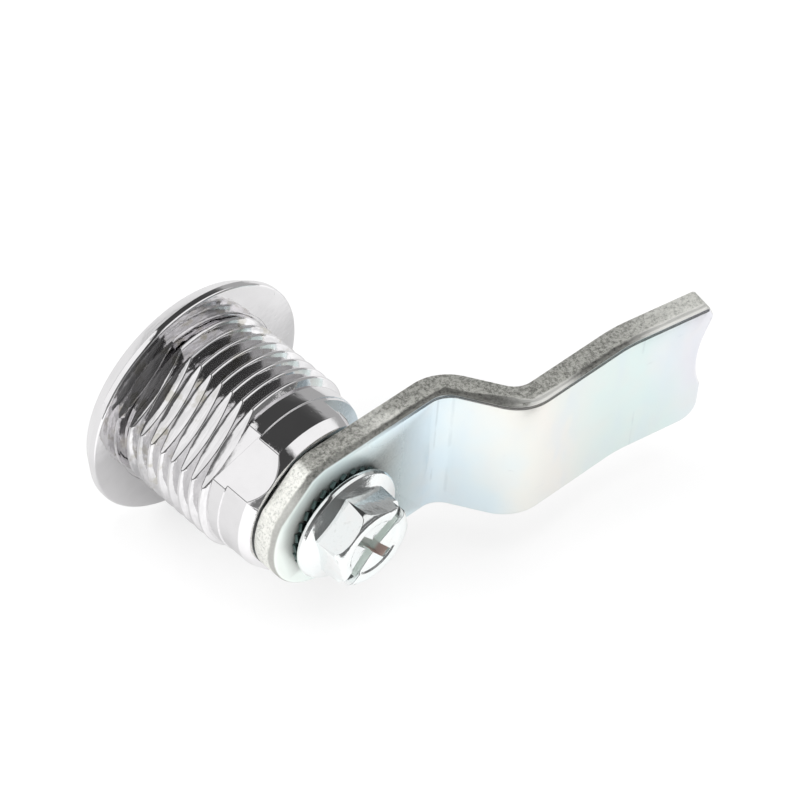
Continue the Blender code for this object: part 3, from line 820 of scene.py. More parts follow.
@dataclass(frozen=True)
class GlossyZinc(Finish):
    """Bright glossy zinc on the cold-formed screw, with painted shade in the slot and cross recess:
    grey-green, and brown on one side.
    """

    colour: Colour = (0.86, 0.89, 0.89)
    roughness: float = 0.06
    stain: Colour = (0.36, 0.37, 0.33)
    recess_colours: tuple[Colour, ...] = ((0.54, 0.60, 0.57), (0.46, 0.35, 0.32), (0.70, 0.75, 0.72))

    def material(self, name: str) -> bpy.types.Material:
        """Builds the finish.

        Args:
            name: The material's name.

        Returns:
            The material.
        """
        paint = Paint(name)
        clouds = paint.noise(1.6, 3.0)
        grain = paint.noise(0.14, 4.0, 0.7)
        mottle = paint.noise(0.6, 4.0, 0.7).ramp(0.55, 0.72)
        colour = paint.mix(clouds.ramp(0.4, 0.7) * 0.5, self.colour, (0.88, 0.87, 0.86))
        colour = paint.mix(mottle * 0.12, colour, self.stain)
        x, y, z = paint.axes()
        # Painted shade: the slot and cross recess turn grey-green and less metallic, with brown on one side
        # of them.
        green, brown, pale = self.recess_colours
        deep = y.ramp(SCREW_TOP - 0.28, SCREW_TOP - 0.42) * (x * x + z * z).ramp(11.6, 10.6)
        turn = math.radians(SLOT_ANGLE)
        across = z * math.cos(turn) - x * math.sin(turn)
        shaded_wall = across.ramp(-0.71, -0.80) * y.ramp(SCREW_TOP - 1.7, SCREW_TOP - 1.2)
        recess = paint.mix(shaded_wall, green, brown)
        recess = paint.mix(clouds.ramp(0.35, 0.7) * (1 - shaded_wall) * 0.4, recess, pale)
        colour = paint.mix(deep, colour, recess)
        return paint.dress(
            base_color=colour,
            metallic=1 - deep * 0.7,
            roughness=self.roughness + clouds * 0.06 + mottle * 0.12 + deep * 0.35,
            normal=paint.relief((clouds, 0.05), (grain, 0.004)),
        )


@dataclass(frozen=True)
class PlainMetal(Finish):
    """A stamped or drawn metal with fine grain."""

    colour: Colour
    roughness: float
    grain: float = 0.006

    def material(self, name: str) -> bpy.types.Material:
        """Builds the finish.

        Args:
            name: The material's name.

        Returns:
            The material.
        """
        paint = Paint(name)
        clouds = paint.noise(0.9, 3.0)
        grain = paint.noise(0.10, 3.0, 0.7)
        colour = paint.mix(clouds.ramp(0.3, 0.7), self.colour, tuple(c * 0.78 for c in self.colour))
        return paint.dress(
            base_color=colour,
            metallic=1.0,
            roughness=self.roughness + clouds * 0.12,
            normal=paint.relief((clouds, self.grain * 2), (grain, self.grain)),
        )


# Sub-assemblies


def settle(piece: Piece, finish: Finish, body: Body, nodes: Sequence[str],
           angle: float = 24.0, across: tuple | None = None) -> None:
    """Scales a piece to metres, smooths it, dresses it and puts it on its body; a piece that crosses a joint
    is left in the world frame instead.

    Args:
        piece: The finished shape in millimetres.
        finish: Its finish.
        body: The CAD body that it rides on.
        nodes: The CAD nodes that it stands for.
        angle: Edges sharper than this stay crisp.
        across: For a piece that crosses a joint, the far body and two points; only whether it is given is
            read.
    """
    placed(piece, Matrix.Diagonal((MM, MM, MM, 1.0)))
    bpy.ops.object.shade_smooth_by_angle(angle=math.radians(angle))
    piece.data.materials.clear()
    piece.data.materials.append(finish.material(f"{piece.name}_finish"))
    if across:
        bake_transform(piece)
    else:
        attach(piece, body.value)
    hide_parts(*nodes)
    LOG.info("%s: %d faces, rides on %s", piece.name, len(piece.data.polygons), body.value)


@dataclass
class BarrelHousing:
    """The chromed die casting: flange, threaded double-D barrel, collar, neck and stop lug."""

    crest: float = 9.0
    depth: float = 1.1
    pitch: float = 1.38
    crest_width: float = 0.28
    valley_width: float = 0.08
    thread_end: float = 10.9
    first_crest: float = 0.64
    across_flats: float = 15.9
    flats_angle: float = 45.0
    core: float = 7.0
    collar: float = 8.47
    collar_end: float = 12.45
    neck: float = 8.35
    neck_end: float = 12.85
    lug_end: float = 16.15
    lug_angle: float = 25.0
    lug_taper: float = 0.4
    lug_taper_length: float = 1.15
    counterbore: float = 7.3
    counterbore_start: float = 11.6
    flange: float = 12.3
    flange_thickness: float = 2.1
    flange_edge: float = 0.65
    flange_front: float = 11.4
    recess: float = 7.1
    recess_floor: float = -0.3
    bore: float = 5.7
    rib_angle: float = 142.0
    rib_reach: float = 11.8
    rib_height: float = 1.2
    rib_thickness: float = 0.5
    seat_relief: float = 0.1
    seat_radius: float = 9.2
    groove: float = 6.35
    groove_half: float = 2.8
    groove_start: float = 0.5
    rounding: float = 0.06
    # Depths into the flats' rounding between which the painted dark reflection line lies.
    rim: tuple[float, float] = (0.001, 0.016)
    steps: int = 192
    finish: Chrome = Chrome()

    def body(self) -> Piece:
        """The turned casting without its thread.

        Returns:
            The solid.
        """
        profile = filleted(
            [
                (self.neck - self.lug_taper, self.lug_end, 0.05),
                (self.neck, self.lug_end - self.lug_taper_length, 0.3),
                (self.neck, self.collar_end, 0.03),
                (self.collar, self.collar_end, 0.06),
                (self.collar, self.thread_end - self.valley_width, 0.05),
                (self.core, self.thread_end - self.valley_width, 0.0),
                (self.core, -self.seat_relief, 0.0),
                (self.seat_radius, -self.seat_relief, 0.0),
                (self.seat_radius, 0.0, 0.03),
                (self.flange, 0.0, 0.2),
                (self.flange, -self.flange_edge, 0.12),
                (self.flange_front, -self.flange_thickness, 0.35),
                (self.recess, -self.flange_thickness, 0.18),
                (self.recess, self.recess_floor, 0.1),
                (self.bore, self.recess_floor, 0.12),
                (self.bore, self.counterbore_start, 0.1),
                (self.counterbore, self.counterbore_start, 0.08),
                (self.counterbore, self.lug_end, 0.12),
            ],
            ring=True,
        )
        return lathe("barrel_casting", profile, self.steps, ring=True)

    def thread(self) -> Piece:
        """The thread as a tube of its own, wound with one pitch of its outline, trimmed flat and bored.

        Returns:
            The solid.
        """
        root = self.crest - self.depth
        half, top, low = self.pitch / 2, self.crest_width / 2, self.valley_width / 2
        start = self.first_crest - self.pitch * (1 - self.flats_angle / 360) - self.pitch
        section = filleted(
            [
                (root, start - half, 0.0),
                (root, start - half + low, 0.06),
                (self.crest, start - top, 0.2),
                (self.crest, start + top, 0.2),
                (root, start + half - low, 0.06),
                (root, start + half, 0.0),
            ],
            steps=4,
        )
        thread = drawn("barrel_thread", [(r, y, 0.0) for r, y in section])
        wind(thread, "Y", self.steps, self.pitch, times=math.ceil((self.thread_end - start) / self.pitch) + 1)
        middle = self.thread_end / 2
        with editing(thread, outward=True):
            bpy.ops.mesh.remove_doubles(threshold=1e-4)
            for side in (-1, 1):
                ahead = side * middle
                pick(thread, Part.EDGES, lambda e: e.is_boundary and e.verts[0].co.y * side > ahead)
                bpy.ops.mesh.extrude_edges_move()
                bpy.ops.mesh.merge(type="CENTER")
        far = 2 * self.crest
        trim = block("thread_length", (-far, -2 * self.seat_relief, -far), (far, self.thread_end, far))
        carve(thread, Carve.KEEP, trim)
        inside = (self.bore + self.core) / 2
        bore = lathe("thread_bore", [(0.0, -far), (inside, -far), (inside, far), (0.0, far)], self.steps)
        return carve(thread, Carve.CUT, bore)

    def cutters(self) -> list[Piece]:
        """What is milled and broached away.

        Returns:
            The two flats, the gap behind the neck that leaves the lug, and the wafers' grooves.
        """
        far = 2 * self.flange
        side = ((self.across_flats / 2, 0.0, -far), (far, far, far))
        flats = joined("flats", [block("flat", *side, self.flats_angle + turn) for turn in (0, 180)])
        gap = block("lug_gap", (0.0, self.neck_end, -far), (far, far, far), self.lug_angle + 180)
        half, end = self.groove_half, self.counterbore_start + 0.3
        room = ((0.0, self.groove_start, -half), (self.groove, end, half))
        return [flats, gap, block("groove", *room, 90.0), block("groove", *room, 0.0)]

    def rib(self) -> Piece:
        """The gusset in the corner of barrel and flange.

        Returns:
            The solid.
        """
        half, middle = self.rib_thickness / 2, (self.core + self.rib_reach) / 2
        rib = block("rib", (self.core, -self.flange_edge, -half), (self.rib_reach, self.rib_height, half))

        def top(edge: Edge) -> bool:
            """Whether an edge runs along the top of the rib."""
            a, b = (v.co for v in edge.verts)
            return min(a.y, b.y) > 0 and abs(a.x - b.x) > 1

        with editing(rib):
            pick(rib, Part.VERTS, lambda v: v.co.x > middle and v.co.y > 0)
            bpy.ops.transform.translate(value=(0, -self.rib_height + 0.02, 0))
            pick(rib, Part.VERTS, lambda v: v.co.x > middle)
            bpy.ops.transform.resize(value=(1, 1, 0.2), center_override=(0, 0, 0))
            pick(rib, Part.EDGES, top)
            bpy.ops.mesh.bevel(offset=0.07, segments=3, affect="EDGES", clamp_overlap=False)
        return placed(rib, Matrix.Rotation(-math.radians(self.rib_angle), 4, "Y"))

    def on_flat(self, edge: Edge) -> bool:
        """Tells the edges of the milled flats and of the lug's ends.

        Args:
            edge: Any edge of the casting.

        Returns:
            Whether it borders one of them.
        """
        near = 1e-3
        if not sharper(edge, 14):
            return False
        a, b = (v.co for v in edge.verts)
        out, limit = outwards(self.flats_angle), self.across_flats / 2 - near
        low, high = sorted((abs(a @ out), abs(b @ out)))
        if low > limit and high < limit + 2 * near:
            return max(a.y, b.y) > near
        back = outwards(self.lug_angle + 180)
        return abs(a @ back) < near and abs(b @ back) < near and min(a.y, b.y) > self.neck_end - near

    def mark(self, housing: Piece) -> None:
        """Marks the middle of the rounding along the flats, where a near-black line is painted as the dark
        reflection in the rounded edge.

        Args:
            housing: The piece.
        """
        out, limit = outwards(self.flats_angle), self.across_flats / 2
        shape = bmesh.new()
        shape.from_mesh(housing.data)
        rim = shape.verts.layers.float.new("rim")
        for vert in shape.verts:
            depth = limit - abs(vert.co @ out)
            vert[rim] = float(self.rim[0] < depth < self.rim[1] and vert.co.y > 0.3)
        shape.to_mesh(housing.data)
        shape.free()

    def build(self) -> None:
        """Makes, rounds and dresses the casting."""
        housing = self.body()
        carve(housing, Carve.ADD, self.thread())
        carve(housing, Carve.CUT, *self.cutters())
        soften(housing, self.on_flat, self.rounding, 2)
        self.mark(housing)
        carve(housing, Carve.ADD, self.rib())
        housing.name = "chromed_barrel"
        settle(housing, self.finish, Body.HOUSING, ["barrel_housing"])


@dataclass
class Plug:
    """The nickel-plated plug with its keyway, slots, tail and tapped hole."""

    radius: float = 5.5
    head: float = 6.9
    head_front: float = -1.9
    head_back: float = -0.5
    shoulder: float = 14.7
    tail: float = 4.3
    tail_flats: float = 6.6
    tail_end: float = 18.5
    tapped: float = 2.6
    tapped_floor: float = 13.36
    keyway: tuple[float, float, float] = (2.1, 7.0, 12.6)
    slot: tuple[float, float, float] = (2.65, 0.65, 5.8)
    pocket: tuple[float, float, float] = (2.5, 4.0, 3.0)
    ear_top: float = 1.35
    travel: float = 0.7
    steps: int = 96
    finish: CastNickel = CastNickel()

    def wafer_room(self, y: float, side: int) -> list[Piece]:
        """A wafer's slot and its spring's pocket.

        Args:
            y: Middle of the wafer.
            side: 1 where it stands out at the top, -1 at the bottom.

        Returns:
            The two blocks.
        """
        half, thick, high = self.slot
        near, far, deep = self.pocket
        low, top = sorted((-deep * side, (self.ear_top + self.travel * (side > 0)) * side))
        slot = block("slot", (-half, y - thick, -high), (half, y + thick, high))
        return [slot, block("pocket", (near, y - thick, low), (far, y + thick, top))]

    def build(self) -> None:
        """Makes, rounds and dresses the plug."""
        profile = filleted(
            [
                (0.0, self.tapped_floor, 0.0),
                (self.tapped, self.tapped_floor, 0.1),
                (self.tapped, self.tail_end, 0.15),
                (self.tail, self.tail_end, 0.2),
                (self.tail, self.shoulder, 0.1),
                (self.radius, self.shoulder, 0.25),
                (self.radius, self.head_back, 0.1),
                (self.head, self.head_back, 0.12),
                (self.head, self.head_front, 0.3),
                (0.0, self.head_front, 0.0),
            ]
        )
        plug = lathe("lock_plug", profile, self.steps)
        for y in WAFER_PLACES:
            carve(plug, Carve.CUT, *self.wafer_room(y, 1))
        carve(plug, Carve.CUT, *self.wafer_room(RETAINER_PLACE, -1))
        width, height, length = self.keyway
        front = self.head_front
        key = block("keyway", (-width / 2, 2 * front, -height / 2), (width / 2, front + length, height / 2))
        far = 2 * self.radius
        side = ((self.tail_flats / 2, self.shoulder, -far), (far, self.tail_end + 0.5, far))
        carve(plug, Carve.CUT, key, *(block("tail_flat", *side, turn) for turn in (90.0, 270.0)))
        soften(plug, lambda e: sharper(e, 40) and max(v.co.y for v in e.verts) < front + 0.05, 0.18, 4)
        settle(plug, self.finish, Body.PLUG, ["plug"])


@dataclass
class StopWasher:
    """The washer that turns with the plug, its tab between the ends of the lug."""

    low: float = 14.85
    high: float = 16.15
    radius: float = 6.9
    tab_radius: float = 8.1
    tab_angle: float = 250.0
    tab_half: float = 42.88
    finish: PlainMetal = PlainMetal((0.60, 0.61, 0.59), 0.24)

    def build(self) -> None:
        """Makes, rounds and dresses the washer."""
        start, end = self.tab_angle - self.tab_half, self.tab_angle + self.tab_half
        outline = arc((0, 0), self.tab_radius, start, end, 32)
        outline += arc((0, 0), self.radius, end, start + 360, 96)
        washer = slab("turn_stop_washer", outline, self.low, self.high)
        carve(washer, Carve.CUT, slab("tail_hole", double_d(*TAIL_HOLE), self.low - 1, self.high + 1))
        soften(washer, lambda e: sharper(e, 50), 0.1, 3)
        settle(washer, self.finish, Body.PLUG, ["stop_washer"])


@dataclass
class Cam:
    """The cranked cam, blanked with a torn edge, folded and plated."""

    back: float = 16.3
    thickness: float = 2.6
    width: float = 14.66
    hub: float = 7.55
    facet: float = 7.15
    facet_angle: float = 45.0
    crank_start: float = 13.3
    crank_run: float = 4.2
    crank_offset: float = 6.7
    bend: float = 2.4
    lip_start: float = 30.0
    lip_angle: float = 9.5
    lip_bend: float = 16.0
    reach: float = 39.2
    hollow_width: float = 8.0
    hollow_depth: float = 0.88
    hollow_centre: float = 0.9
    nose: float = 0.35
    nose_drop: float = 1.4
    nose_round: float = 0.35
    lip_corner: int = 3
    corner: float = 2.0
    die_roll: float = 0.42
    burr: float = 0.035
    finish: PassivatedZinc = PassivatedZinc()

    def path(self) -> list[Vector]:
        """The middle of the sheet from above.

        Returns:
            Its corners, x and y.
        """
        middle = self.back + self.thickness / 2
        outer = middle + self.crank_offset
        past = self.reach + 2 * self.thickness
        lift = (past - self.lip_start) * math.tan(math.radians(self.lip_angle))
        start, end = -self.crank_start, -self.crank_start - self.crank_run
        corners = [(self.hub + 3, middle), (start, middle), (end, outer), (-self.lip_start, outer)]
        return [Vector(corner) for corner in (*corners, (-past, outer + lift))]

    def strip(self, steps: int = 10) -> list[Point]:
        """The folded sheet from above.

        Args:
            steps: Spans across each bend.

        Returns:
            Its outline, x and y.
        """
        path, half = self.path(), self.thickness / 2
        left: list[Vector] = []
        right: list[Vector] = []
        for i, point in enumerate(path):
            before = (point - path[i - 1]).normalized() if i else None
            after = (path[i + 1] - point).normalized() if i + 1 < len(path) else None
            if before is None or after is None:
                along = after or before
                side = Vector((-along.y, along.x))
                left.append(point + side * half)
                right.append(point - side * half)
                continue
            middle = half + (self.lip_bend if i == self.lip_corner else self.bend)
            turn = -before.angle_signed(after, 0)
            hand = math.copysign(1, turn)
            centre = point - before * middle * math.tan(abs(turn) / 2)
            centre = centre + Vector((-before.y, before.x)) * hand * middle
            for k in range(steps + 1):
                out = Vector((before.y, -before.x)) * hand
                out.rotate(Matrix.Rotation(turn * k / steps, 2))
                left.append(centre + out * (middle - hand * half))
                right.append(centre + out * (middle + hand * half))
        return [tuple(p) for p in left] + [tuple(p) for p in reversed(right)]

    def hub_outline(self) -> list[Point]:
        """The blank seen along the barrel: round hub with one cut corner, its arm left long.

        Returns:
            The outline, x and z.
        """
        half = self.width / 2
        side = math.degrees(math.asin(half / self.hub))
        cut = math.degrees(math.acos(self.facet / self.hub))
        hub = arc((0, 0), self.hub, -side, self.facet_angle - cut, 40)
        hub += arc((0, 0), self.hub, self.facet_angle + cut, side, 10)
        return hub + [(-2 * self.reach, half), (-2 * self.reach, -half)]

    def tip_outline(self) -> list[Point]:
        """The tip in the plane of the lip, from its bend outwards: nose, hollow and round corner.

        Returns:
            The outline, along the lip and z.
        """
        half, slope = self.width / 2, math.radians(self.lip_angle)
        reach = (self.reach - self.lip_start) / math.cos(slope) + self.thickness / 2 * math.tan(slope)
        chord = self.hollow_width / 2
        radius = (chord**2 + self.hollow_depth**2) / (2 * self.hollow_depth)
        spread = math.degrees(math.asin(chord / radius))
        hollow = arc((-reach - radius + self.hollow_depth, self.hollow_centre), radius, spread, -spread, 24)
        steep = 2 * self.nose / self.nose_drop
        nose = filleted([(-reach + self.nose + half * steep, 2 * half, 0.0),
                         (-reach - self.nose, half - self.nose_drop, 0.3), (*hollow[0], 0.0)], steps=4)[:-1]
        corner = arc((-reach + self.corner, -half + self.corner), self.corner, 180, 270, 12)
        far = 2 * self.reach
        return nose + hollow + corner + [(corner[-1][0], -2 * half), (far, -2 * half), (far, 2 * half)]

    def tip_cutter(self) -> Piece:
        """What is kept at the tip, square to the lip.

        Returns:
            The solid.
        """
        lip, far = self.path()[self.lip_corner], 20.0
        turn = Matrix.Rotation(-math.radians(self.lip_angle), 4, "Z")
        blank = slab("tip_blank", self.tip_outline(), -far, far)
        return placed(blank, Matrix.Translation((lip.x, lip.y, 0)) @ turn)

    def mark(self, cam: Piece) -> None:
        """Marks on the mesh where the torn edge is, and how far through the sheet each point lies.

        Args:
            cam: The piece.
        """
        path = self.path()
        shape = bmesh.new()
        shape.from_mesh(cam.data)
        sheared = shape.verts.layers.float.new("sheared")
        through = shape.verts.layers.float.new("through")
        for vert in shape.verts:
            here = Vector((vert.co.x, vert.co.y))
            best = min(
                ((a + (b - a) * max(0.0, min(1.0, (here - a).dot(b - a) / (b - a).length_squared)), b - a)
                 for a, b in zip(path, path[1:])),
                key=lambda near: (here - near[0]).length,
            )
            side = Vector((best[1].y, -best[1].x)).normalized()
            vert[through] = max(0.0, min(1.0, 0.5 - (here - best[0]).dot(side) / self.thickness))
            vert[sheared] = float(any(abs(f.normal.xy.dot(side)) < 0.6 for f in vert.link_faces))
        shape.to_mesh(cam.data)
        shape.free()

    def build(self) -> None:
        """Makes, folds, rounds and dresses the cam."""
        cam = slab("cranked_cam", self.strip(), -self.width, self.width, upright=True)
        far = 4 * self.width
        carve(cam, Carve.KEEP, slab("hub_blank", self.hub_outline(), 0.0, far), self.tip_cutter())
        carve(cam, Carve.CUT, slab("tail_hole", double_d(*TAIL_HOLE), 0.0, far))

        def rim(edge: Edge, side: int) -> bool:
            """Whether an edge lies between the torn wall and one face of the sheet."""
            wall, face = sorted((f.normal.y for f in edge.link_faces), key=abs)
            return abs(wall) < 0.2 and face * side > 0.3 and edge.verts[0].co.xz.length > TAIL_HOLE[0] + 0.55

        def nose(edge: Edge) -> bool:
            """Whether an edge is the sharp corner of the nose, across the thickness of the sheet."""
            a, b = (v.co for v in edge.verts)
            high = min(a.z, b.z) > self.width / 2 - 1e-3
            return high and max(a.x, b.x) < 1 - self.reach and abs(a.y - b.y) > self.thickness / 2

        soften(cam, nose, self.nose_round, 4)
        soften(cam, lambda e: rim(e, 1), self.die_roll, 5)
        soften(cam, lambda e: rim(e, -1), self.burr, 2)
        self.mark(cam)
        settle(cam, self.finish, Body.PLUG, ["cam"])


@dataclass
class ToothedWasher:
    """The lock washer with twisted teeth, painted dark green-black for the shade it lies in under the screw's
    flange.
    """

    count: int = 28
    low: float = 19.05
    height: float = 0.66
    thickness: float = 0.4
    bore: float = 2.7
    rim: float = 4.7
    outer: float = 5.55
    tooth_width: float = 0.8
    twist: float = 20.0
    # Painted shade: a dark green-black for the shade under the screw's flange.
    finish: PlainMetal = PlainMetal((0.12, 0.17, 0.165), 0.34)

    def build(self) -> None:
        """Makes the ring and its teeth, and dresses them."""
        low = self.low + (self.height - self.thickness) / 2
        high = low + self.thickness
        corners = [(self.rim, high), (self.rim, low), (self.bore, low), (self.bore, high)]
        section = filleted([(*corner, 0.05) for corner in corners], ring=True, steps=2)
        parts = [lathe("toothed_ring", section, 4 * self.count, ring=True)]
        length = self.outer - self.rim + self.thickness
        size = Vector((length, self.thickness, self.tooth_width)) / 2
        out = Matrix.Translation((self.outer - length / 2, (low + high) / 2, 0))
        for i in range(self.count):
            tooth = block("tooth", -size, size)
            with editing(tooth):
                bpy.ops.mesh.bevel(offset=0.06, segments=2, affect="EDGES", clamp_overlap=False)
            about = Matrix.Rotation(2 * math.pi * i / self.count, 4, "Y")
            parts.append(placed(tooth, about @ out @ Matrix.Rotation(math.radians(self.twist), 4, "X")))
        washer = joined("toothed_lock_washer", parts)
        settle(washer, self.finish, Body.PLUG, ["toothed_washer"])


@dataclass
class CamScrew:
    """The cold-formed screw: round flange, hexagon, through slot and cross recess."""

    seat: float = 19.86
    shank: float = 2.45
    tip: float = 13.66
    flange: float = 5.8
    flange_thickness: float = 0.65
    cone: float = 0.5
    across: float = 8.0
    hex_angle: float = 18.0
    top: float = SCREW_TOP
    top_radius: float = 3.6
    top_round: float = 0.9
    dish: float = 0.4
    slot: tuple[float, float] = (1.4, 1.0)
    cross: tuple[float, float, float] = (1.0, 5.4, 2.1)
    steps: int = 128
    finish: GlossyZinc = GlossyZinc()

    def head(self) -> Piece:
        """The hexagon with its corners turned away towards the top.

        Returns:
            The solid.
        """
        corner = self.across / 2 / math.cos(math.pi / 6)
        foot = self.seat + self.flange_thickness / 2
        shoulder = self.seat + self.flange_thickness + self.cone
        outline = arc((0, 0), corner, self.hex_angle, self.hex_angle + 300, 5)
        head = slab("hexagon", outline, foot, self.top + 1)
        turning = [
            (0.0, self.top - self.dish),
            *filleted([(0.0, self.top - self.dish, 0.0), (2.75, self.top - 0.17, 0.3),
                       (3.0, self.top - 0.03, 0.2), (self.top_radius, self.top, 0.0)])[1:-1],
            *arc((self.top_radius, self.top - self.top_round), self.top_round, 90, 0, 8),
            (corner + 0.01, shoulder),
            (corner + 0.01, self.seat),
            (0.0, self.seat),
        ]
        return carve(head, Carve.KEEP, lathe("head_turning", turning, self.steps))

    def build(self) -> None:
        """Makes, rounds and dresses the screw."""
        top = self.seat + self.flange_thickness
        profile = filleted(
            [
                (0.0, top + self.cone + 0.2, 0.0),
                (self.across / 2 - 0.4, top + self.cone + 0.2, 0.0),
                (self.across / 2, top + self.cone, 0.3),
                (self.flange - 0.13, top, 0.15),
                (self.flange, top - 0.26, 0.12),
                (self.flange, self.seat + 0.13, 0.1),
                (self.flange - 0.13, self.seat, 0.08),
                (self.shank, self.seat, 0.1),
                (self.shank, self.tip + 0.4, 0.1),
                (self.shank - 0.4, self.tip, 0.1),
                (0.0, self.tip, 0.0),
            ]
        )
        screw = lathe("hex_flange_screw", profile, self.steps)
        carve(screw, Carve.ADD, self.head())
        far, high = 9.0, self.top + 4
        width, depth = self.slot
        through = ((-far, self.top - depth, -width / 2), (far, high, width / 2))
        width, length, depth = self.cross
        cross = ((-width / 2, self.top - depth, -length / 2), (width / 2, high, length / 2))
        carve(screw, Carve.CUT, *(block("recess", *corners, SLOT_ANGLE) for corners in (through, cross)))
        limit = top + self.cone + 0.02
        soften(screw, lambda e: sharper(e, 15) and min(v.co.y for v in e.verts) > limit, 0.04, 2)
        settle(screw, self.finish, Body.PLUG, ["cam_screw"])


@dataclass
class WaferSprings:
    """The compression springs, each between its pocket's floor and a wafer's ear."""

    side: float = 3.3
    length: float = 2.83
    radius: float = 0.4
    wire: float = 0.1
    turns: float = 3.5
    finish: PlainMetal = PlainMetal((0.52, 0.52, 0.50), 0.28)

    def coil(self, name: str, y: float, low: float) -> Piece:
        """Winds one spring about Z.

        Args:
            name: The piece's name.
            y: Its place along the plug.
            low: The height of its lower end.

        Returns:
            The solid.
        """
        section = arc((self.radius, 0.0), self.wire, 0, 360, 12)
        coil = drawn(name, [(x, 0.0, z) for x, z in section])
        with editing(coil):
            bpy.ops.mesh.remove_doubles(threshold=1e-6)
        wind(coil, "Z", round(20 * self.turns), self.length - 2 * self.wire, self.turns)
        with editing(coil, outward=True):
            bpy.ops.mesh.fill_holes(sides=0)
            bpy.ops.transform.translate(value=(self.side, y, low + self.wire))
        return coil

    def fit(self, name: str, node: str, wafer: str, y: float, side: int) -> None:
        """Makes a spring between the plug and its wafer.

        Args:
            name: The piece's name.
            node: The CAD spring that it stands for.
            wafer: The wafer's body.
            y: Its place along the plug.
            side: 1 where the pocket's floor lies above the ear, -1 where it lies below.
        """
        gap = 0.01
        coil = self.coil(name, y, gap if side > 0 else -self.length - gap)
        ends = [(self.side * MM, y * MM, side * z * MM) for z in (self.length - self.wire, self.wire)]
        settle(coil, self.finish, Body.PLUG, [node], across=(wafer, *ends))

    def build(self) -> None:
        """Makes all the springs."""
        for i, y in enumerate(WAFER_PLACES, 1):
            self.fit(f"wafer_coil_{i}", f"wafer_spring_{i}", f"code_wafer_{i}", y, -1)
        self.fit("retaining_coil", "retaining_spring", "rear_wafer", RETAINER_PLACE, 1)


@dataclass
class Wafers:
    """The wafers, whose CAD shapes stay and get their metal."""

    brass: PlainMetal = PlainMetal((0.66, 0.47, 0.17), 0.26)

    def build(self, nodes: dict[str, Piece]) -> None:
        """Dresses the CAD nodes.

        Args:
            nodes: The CAD nodes by name.
        """
        for name in (*(f"wafer_{i}" for i in range(1, 7)), "retaining_wafer"):
            material = self.brass.material(f"{name}_finish")
            for slot in nodes[name].material_slots:
                slot.material = material
            LOG.info("%s: CAD shape with its own metal", name)


# Studio


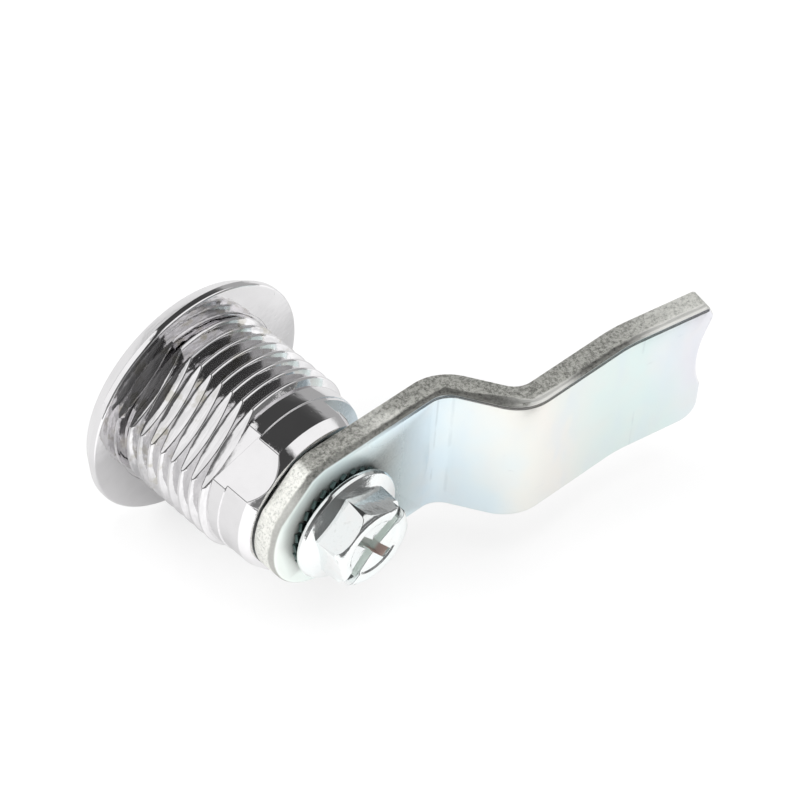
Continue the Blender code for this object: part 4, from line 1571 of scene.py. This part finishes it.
@dataclass
class Studio:
    """White floor and world, soft lamps, a tent of cards seen only in the metal, and the camera."""

    azimuth: float = 133.18
    elevation: float = 47.21
    roll: float = 4.83
    distance: float = 364.32
    target: tuple[float, float, float] = (-10.0, 14.0, 0.0)
    lens: float = 180.0
    shift: tuple[float, float] = (0.0245, 0.0391)
    tent_radius: float = 900.0
    floor_radius: float = 1600.0
    room_light: float = 0.34
    softboxes: tuple[tuple[str, tuple[float, float, float], float, float], ...] = (
        ("left_softbox", (700.0, -450.0, 600.0), 700.0, 7.0),
        ("top_softbox", (-100.0, 100.0, 1000.0), 900.0, 7.0),
        ("front_softbox", (450.0, 650.0, 500.0), 600.0, 4.5),
    )

    def camera(self) -> None:
        """Sets the camera where the photograph was taken from."""
        a, e, r = (math.radians(v) for v in (self.azimuth, self.elevation, self.roll))
        back = Vector((math.sin(a) * math.cos(e), -math.cos(a) * math.cos(e), math.sin(e)))
        right = Vector((math.cos(a), math.sin(a), 0))
        up = back.cross(right)
        side, top = right * math.cos(r) + up * math.sin(r), up * math.cos(r) - right * math.sin(r)
        bpy.ops.object.camera_add()
        camera = bpy.context.object
        camera.name = "photo_camera"
        turn = Matrix((side, top, back)).transposed().to_4x4()
        camera.matrix_world = Matrix.Translation((Vector(self.target) + back * self.distance) * MM) @ turn
        camera.data.lens = self.lens
        camera.data.sensor_width = 36.0
        camera.data.shift_x, camera.data.shift_y = self.shift
        camera.data.clip_start, camera.data.clip_end = 0.01, 20.0
        bpy.context.scene.camera = camera

    def floor(self, height: float) -> None:
        """A pale floor that keeps the object's shadow; seen in the metal it glows brighter from y = 14 mm on,
        painted light that lifts the shade there.

        Args:
            height: Where it lies, in metres.
        """
        bpy.ops.mesh.primitive_circle_add(vertices=96, radius=self.floor_radius * MM, fill_type="NGON",
                                          location=(0, 0, height))
        floor = bpy.context.object
        floor.name = "floor"
        paint = Paint("floor_paint")
        paint.dress(base_color=(0.90, 0.90, 0.90), roughness=1.0, specular_ior_level=0.0)
        seen = paint.ray("Camera").at_least(paint.ray("Transmission"))
        # Seen by the camera the floor glows white all over. Seen in the metal it glows at 0.42 near the
        # object and 0.96 from y = 14 mm on, painted light over the floor's shade.
        front = paint.axes()[1].ramp(8.0, 14.0)
        glow = paint.glow(seen.at_least(0.42 + front * 0.54))
        share = (seen * 0.70).at_least(paint.ray("Glossy") * (0.48 - front * 0.08))
        matt = Wire(paint, paint.shader.outputs[0])
        paint.show(paint.wire("ShaderNodeMixShader", None, {0: share, 1: matt, 2: glow}))
        floor.data.materials.append(paint.owner)
        floor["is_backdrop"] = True

    def flag(self, height: float) -> None:
        """A dark card lying on the floor before the camera, seen only in the metal.

        Args:
            height: Where it lies, in metres.
        """
        bpy.ops.mesh.primitive_plane_add(size=1.0)
        card = bpy.context.object
        card.name = "dark_card"
        placed(card, Matrix.Translation((0, 0.30, height)) @ Matrix.Diagonal((0.9, 0.50, 1, 1)))
        card.data.materials.append(Paint("card_paint").dress(base_color=(0.10, 0.10, 0.10), roughness=1.0))
        card.visible_camera = card.visible_diffuse = card.visible_shadow = card.visible_transmission = False
        card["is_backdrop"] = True

    def tent(self) -> None:
        """The tent over the object: bright cards and dark gaps that only the metal sees."""
        bpy.ops.mesh.primitive_uv_sphere_add(segments=64, ring_count=32, radius=self.tent_radius * MM)
        tent = bpy.context.object
        tent.name = "card_tent"
        with editing(tent):
            pick(tent, Part.FACES, lambda f: f.calc_center_median().z < -0.012)
            bpy.ops.mesh.delete(type="FACE")
            bpy.ops.mesh.select_all(action="SELECT")
            bpy.ops.mesh.flip_normals()
        paint = Paint("tent_cards")
        unit = paint.wire("ShaderNodeVectorMath", {"operation": "NORMALIZE"}, {0: paint.place})
        paint.show(paint.glow(self.cards(*paint.split(unit))))
        paint.tree.nodes.remove(paint.shader)
        tent.data.materials.append(paint.owner)
        tent.visible_camera = tent.visible_diffuse = tent.visible_shadow = False
        tent.visible_transmission = tent.visible_volume_scatter = False
        tent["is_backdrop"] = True

    def cards(self, x: Wire, y: Wire, z: Wire) -> Wire:
        """How bright the tent is in each direction.

        Args:
            x: East part of the direction.
            y: North part of the direction.
            z: Upward part of the direction.

        Returns:
            The level, 1 for white.
        """
        left = x.ramp(0.12, 0.20) * y.ramp(-0.72, -0.62) * (1 - y.ramp(0.0, 0.12)) * z.ramp(0.86, 0.83)
        top = y.ramp(-0.22, -0.04) * z.ramp(0.30, 0.60) * x.ramp(0.25, 0.05)
        front = y.ramp(-0.78, -0.88) * 0.72
        right = x.ramp(-0.62, -0.80) * z.ramp(0.60, 0.40) * 0.42
        gap = 0.06 + z.ramp(0.75, 0.10) * 0.14
        return gap.at_least(left).at_least(top).at_least(front).at_least(right)

    def lamps(self) -> None:
        """Large soft lamps that point at the object."""
        for name, place, size, power in self.softboxes:
            bpy.ops.object.light_add(type="AREA")
            lamp = bpy.context.object
            lamp.name = name
            lamp.location = Vector(place) * MM
            lamp.rotation_mode = "QUATERNION"
            lamp.rotation_quaternion = (-lamp.location).to_track_quat("-Z", "Y")
            lamp.data.shape, lamp.data.size, lamp.data.energy = "SQUARE", size * MM, power
            lamp.visible_camera = lamp.visible_glossy = False

    def world(self) -> None:
        """A white world for what looks at it, and a softer one for what it lights."""
        room = Paint("white_room", world=True)
        bpy.context.scene.world = room.owner
        seen = room.ray("Camera").at_least(room.ray("Glossy")).at_least(room.ray("Transmission"))
        strength = room.wire("ShaderNodeMapRange", None, {"Value": seen, "To Min": self.room_light}, "Result")
        room.dress(color=(1.0, 1.0, 1.0), strength=strength)

    def build(self, low: Vector) -> None:
        """Sets the studio up.

        Args:
            low: The object's lowest corner.
        """
        bpy.context.scene.view_settings.view_transform = "Standard"
        self.camera()
        self.floor(low.z - 0.1 * MM)
        self.flag(low.z)
        self.tent()
        self.lamps()
        self.world()


def main() -> None:
    """Builds the lock's looks and the studio round it."""
    logging.basicConfig(level=logging.INFO, format="%(message)s")
    for left_over in list(bpy.data.objects):
        bpy.data.objects.remove(left_over, do_unlink=True)
    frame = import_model()
    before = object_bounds()
    for part in (BarrelHousing(), Plug(), StopWasher(), Cam(), ToothedWasher(), CamScrew(), WaferSprings()):
        part.build()
    Wafers().build(frame["nodes"])
    Studio().build(before[0])


if __name__ == "__main__":
    main()
